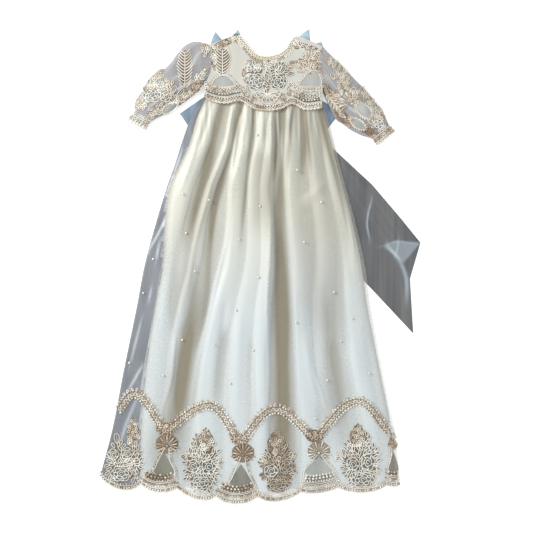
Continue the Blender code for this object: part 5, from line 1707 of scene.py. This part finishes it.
def basket(node, dome, first, last, bare, ground, seed):
    """A pale net dome over hung rows of loops and knots, down to the waist seam."""
    lace = Lace(BODICE_GROUND, seed)
    dome = smoothed([place_of(*p) for p in dome], 2.0)
    rows = [waist_line(up, first, last) for up in BASKET_UPS]
    lace.between(rows[0], rows[-1], ground)
    lace.fill(dome, NET_FILL, 0.2, 4)
    lace.cords([dome], 0.85, LIGHT)
    lace.row(grown(dome, 1.22), 5.2, 1.5, (LIGHT, MID))
    lace.cords([rows[0]], 0.8, LIGHT)
    lace.cords([rows[0] + np.array([0, -2.4])], 0.8, DARK_FILL)
    for number, row in enumerate(rows[1:]):
        if number % 3:
            lace.loops(resampled(row, 6.6), 2.5, PALE_MIX, DARK_FILL, 0.8)
        else:
            lace.row(row, 5.6, 1.8, PALE_MIX)
    for up in bare:
        lace.row(waist_line(up, first + 8, last - 2), 5.8, 1.7, PALE_MIX)
    return lace.make(node + "_lace", [node], BODICE_CLOTHS)


DOME_LEFT = ((211, 86.5), (214, 80), (219, 76), (225, 75), (231, 79), (235, 86), (223, 87.5), (211, 86.5))
DOME_RIGHT = ((298, 86), (303, 79), (309, 72), (316, 70.5), (320, 76), (321, 86), (310, 87.5), (298, 86))

# Sleeve embroidery: it goes with the sleeve it lies on
LEFT_SLEEVE = rows_of(Flower, (
    ("frond", 185, 88, 74, 32, 0, 12), ("rose", 152, 95, 18, 15, 0, 6),
    ("rose", 166, 97, 11, 10, 30, 5), ("leaf", 157, 86, 17, 9, -15, 0),
    ("leaf", 163, 87, 17, 9, -45, 0), ("leaf", 149, 86, 14, 8, 0, 0), ("leaf", 171, 95, 20, 9, -28, 0),
    ("leaf", 177, 97, 20, 9, -42, 0), ("leaf", 183, 98, 18, 8, -52, 0), ("leaf", 146, 92, 12, 7, 30, 0),
))
RIGHT_SLEEVE = rows_of(Flower, (
    ("burst", 352, 104, 26, 70, 48, 9), ("rose", 373, 105, 9, 9, 0, 4),
    ("leaf", 379, 117, 15, 8, 20, 0), ("rose", 379, 124, 9, 9, 0, 5),
    ("frond", 327, 95, 46, 17, -140, 6), ("leaf", 334, 80, 14, 8, 20, 0),
    ("leaf", 346, 118, 15, 7, 60, 0), ("leaf", 374, 124, 13, 8, 60, 0),
    ("leaf", 349, 92, 15, 8, -60, 0), ("leaf", 333, 68, 13, 7, -20, 0),
))
# Grounds of small leaves on the sleeves, over a tan or a cream net
LEFT_LOOPS = rows_of(Patch, (
    (154, 80, 30, 9, 0.85), (144, 99, 26, 12, 0.95), (192, 91, 30, 7, 0.68), (157, 111, 22, 9, 0.45),
    (178, 101, 24, 9, 0.5), (206, 50, 7, 14, 0.0), (163, 91, 26, 20, 0.4), (198, 78, 14, 7, 0.7),
))
RIGHT_LOOPS = rows_of(Patch, (
    (341, 70, 24, 8, -0.95), (342, 80, 18, 8, -0.6), (342, 90, 20, 9, 1.0), (368, 98, 30, 7, -0.95),
    (377, 112, 18, 12, -0.9), (331, 96, 30, 9, -0.95), (344, 118, 26, 9, -0.75),
    (367, 130, 20, 8, -0.55), (377, 122, 14, 14, 0.0), (353, 96, 22, 12, -0.9), (330, 62, 10, 8, -0.9),
))
# Net patches of the sleeves, and a pearl in a ring
LEFT_PATCHES = (Patch(170, 108, 17, 7, 0.55),)
RIGHT_PATCHES = rows_of(Patch, ((364, 111, 19, 11, -0.75), (358, 124, 17, 8, -0.6)))


def sleeve_lace(name, ground, table, loops, patches, tans, ringed, seed):
    lace = Lace(ground, seed)
    kept_off = [flower_outline(item) for item in table if item.kind in ("rose", "leaf")]
    kept_off += [patch_outline(item) for item in patches]
    for number, item in enumerate(loops):
        outline = patch_outline(item)
        dark = number in tans
        lace.fill(outline, TAN_GROUND if dark else CREAM_GROUND, 0.1, 4)
        tones = (MID, TAN) if dark else PALE_MIX
        lace.leaves(outline, 6.6, seed + number, kept_off, tones, None, 0.85)
    for item in patches:
        outline = patch_outline(item)
        lace.fill(outline, NET_FILL, 0.35, 4)
        lace.cords([closed(outline)], 0.85, LIGHT, lift=0.3)
        lace.row(grown(closed(outline), 1.16), 5.0, 1.7, PALE_MIX)
    flowers(lace, table, (LIGHT,))
    if ringed:
        x, down = place_of(*ringed)
        lace.cells([ring(x, down, 6.5, 6.5, 0, 16)], 0.7, MID, NET_FILL, 0.2)
        lace.beads([(x, down)], 3.2, BEAD, 0.9, 6, 10)
    return lace.make(name, None, BODICE_CLOTHS)


def cuff_lace(name, ground, table, tones, seed):
    """The frill's lace: cords and rows of loops along it, and a looped edge."""
    end, half, along = sleeve_end(table)
    lace = Lace(ground, seed)
    for step, spread in ((-4.5, 1.0), (0.5, 1.0), (5.4, 1.05), (10.0, 1.09), (12.6, 1.12)):
        middle = end + along * step
        reach = half * spread * 0.96
        line = np.array([middle - reach, middle + reach])
        if step in (0.5, 10.0):
            lace.cords([line], 0.9, LIGHT)
        elif step == 12.6:
            lace.cords([picots(line, 6.0, 3.4, 1), picots(line, 6.0, 3.0, -1)], 0.85, tones[0])
        else:
            lace.loops(resampled(line, 6.2), 2.5, tones, None, 0.85)
    return lace.make(name, None, BODICE_CLOTHS)


# Pearls on the overlay, at pixel places
PEARLS = (
    (257, 135), (297, 170), (183, 194), (209, 200), (260, 206), (321, 202), (186, 233), (239, 239),
    (304, 242), (153, 259), (195, 271), (258, 277), (143, 293), (236, 310), (182, 340), (214, 344),
    (253, 350), (341, 341), (129, 363), (163, 375), (369, 373), (230, 383), (327, 380), (315, 418),
    (334, 292), (296, 322), (352, 318),
)


def pearls():
    lace = Lace(NET_GROUND, 6)
    places = [place_of(*p) for p in PEARLS]
    lace.beads(places, 2.3, BEAD, 0.9, 6, 10, 0.1)
    return lace.make("skirt_pearls", None, LACE_CLOTHS)


overlay_lace = [hem_garland(), hem_edging(), pearls()]
overlay_lace += [bouquet(i + 1, *both) for i, both in enumerate(zip(BOUQUETS, BOUQUET_TONES))]
overlay_lace += [fan(i + 1, item) for i, item in enumerate(FANS)]
bodice_lace = [
    neck_trim(),
    bodice_edging(),
    centre_lace(),
    column_lace("bodice_leaf_left", LEAVES_LEFT, LEAVES_LEFT_LOOPS, (LIGHT,), 41),
    column_lace("bodice_leaf_right", LEAVES_RIGHT, LEAVES_RIGHT_LOOPS, (MID,), 42),
    basket("bodice_fan_left", DOME_LEFT, -113, -47, (), CREAM_GROUND, 43),
    basket("bodice_fan_right", DOME_RIGHT, 57, 110, (34.5, 40), TAN_GROUND, 44),
]
left_lace = sleeve_lace(
    "sleeve_left_lace", LEFT_GROUND, LEFT_SLEEVE, LEFT_LOOPS, LEFT_PATCHES, (2,), (205, 70), 50
)
right_lace = sleeve_lace(
    "sleeve_right_lace", RIGHT_GROUND, RIGHT_SLEEVE, RIGHT_LOOPS, RIGHT_PATCHES, (5, 6, 7), None, 70
)
left_frill = cuff_lace("cuff_left_cords", LEFT_GROUND, SLEEVE_LEFT, PALE_MIX, 90)
right_frill = cuff_lace("cuff_right_cords", RIGHT_GROUND, SLEEVE_RIGHT, (MID, TAN, LIGHT), 91)


# Floor, light and camera


def area_light(name, place, size, power, colour):
    """A round light that is turned to the middle of the gown."""
    data = bpy.data.lights.new(name, "AREA")
    data.shape = "DISK"
    data.size = size
    data.energy = power
    data.color = colour
    made = bpy.data.objects.new(name, data)
    made.location = place
    made.rotation_euler = (-Vector(place)).to_track_quat("-Z", "Y").to_euler()
    bpy.context.scene.collection.objects.link(made)


def studio():
    """A pale floor just under the gown, two lights and a plain sky."""
    side = 6.0
    below = -0.0003
    mesh = bpy.data.meshes.new("floor")
    corners = [(-side, -side), (side, -side), (side, side), (-side, side)]
    mesh.from_pydata([(x, y, below) for x, y in corners], [], [(0, 1, 2, 3)])
    made, tree, shader = finish("floor_paint", {
        "Roughness": 0.9, "Specular IOR Level": 0.1,
        "Emission Color": (1, 1, 1, 1), "Emission Strength": 0.3,
    })
    shade = mix(tree, noise(tree, 3), (0.93, 0.93, 0.93), (0.955, 0.955, 0.955))
    tree.links.new(shade, shader.inputs["Base Color"])
    mesh.materials.append(made)
    floor = bpy.data.objects.new("floor", mesh)
    bpy.context.scene.collection.objects.link(floor)
    area_light("key", (-1.9, 1.1, 1.35), 0.9, 56, (1, 0.985, 0.96))
    area_light("fill", (1.4, -1.6, 2.6), 2.4, 24, (0.95, 0.98, 1))
    world = bpy.data.worlds.new("studio")
    world.use_nodes = True
    sky = world.node_tree.nodes["Background"].inputs
    sky["Color"].default_value = (0.97, 0.98, 1, 1)
    sky["Strength"].default_value = 0.72
    bpy.context.scene.world = world
    bpy.context.scene.view_settings.view_transform = "Standard"


studio()
CAMERA_PLACE = (0.0129, -0.0007, 2.462)
CAMERA_LENS = 85
CAMERA_SENSOR = 36
camera_data = bpy.data.cameras.new("camera")
camera_data.lens = CAMERA_LENS
camera_data.sensor_width = CAMERA_SENSOR
camera = bpy.data.objects.new("camera", camera_data)
camera.location = CAMERA_PLACE
bpy.context.scene.collection.objects.link(camera)
bpy.context.scene.camera = camera
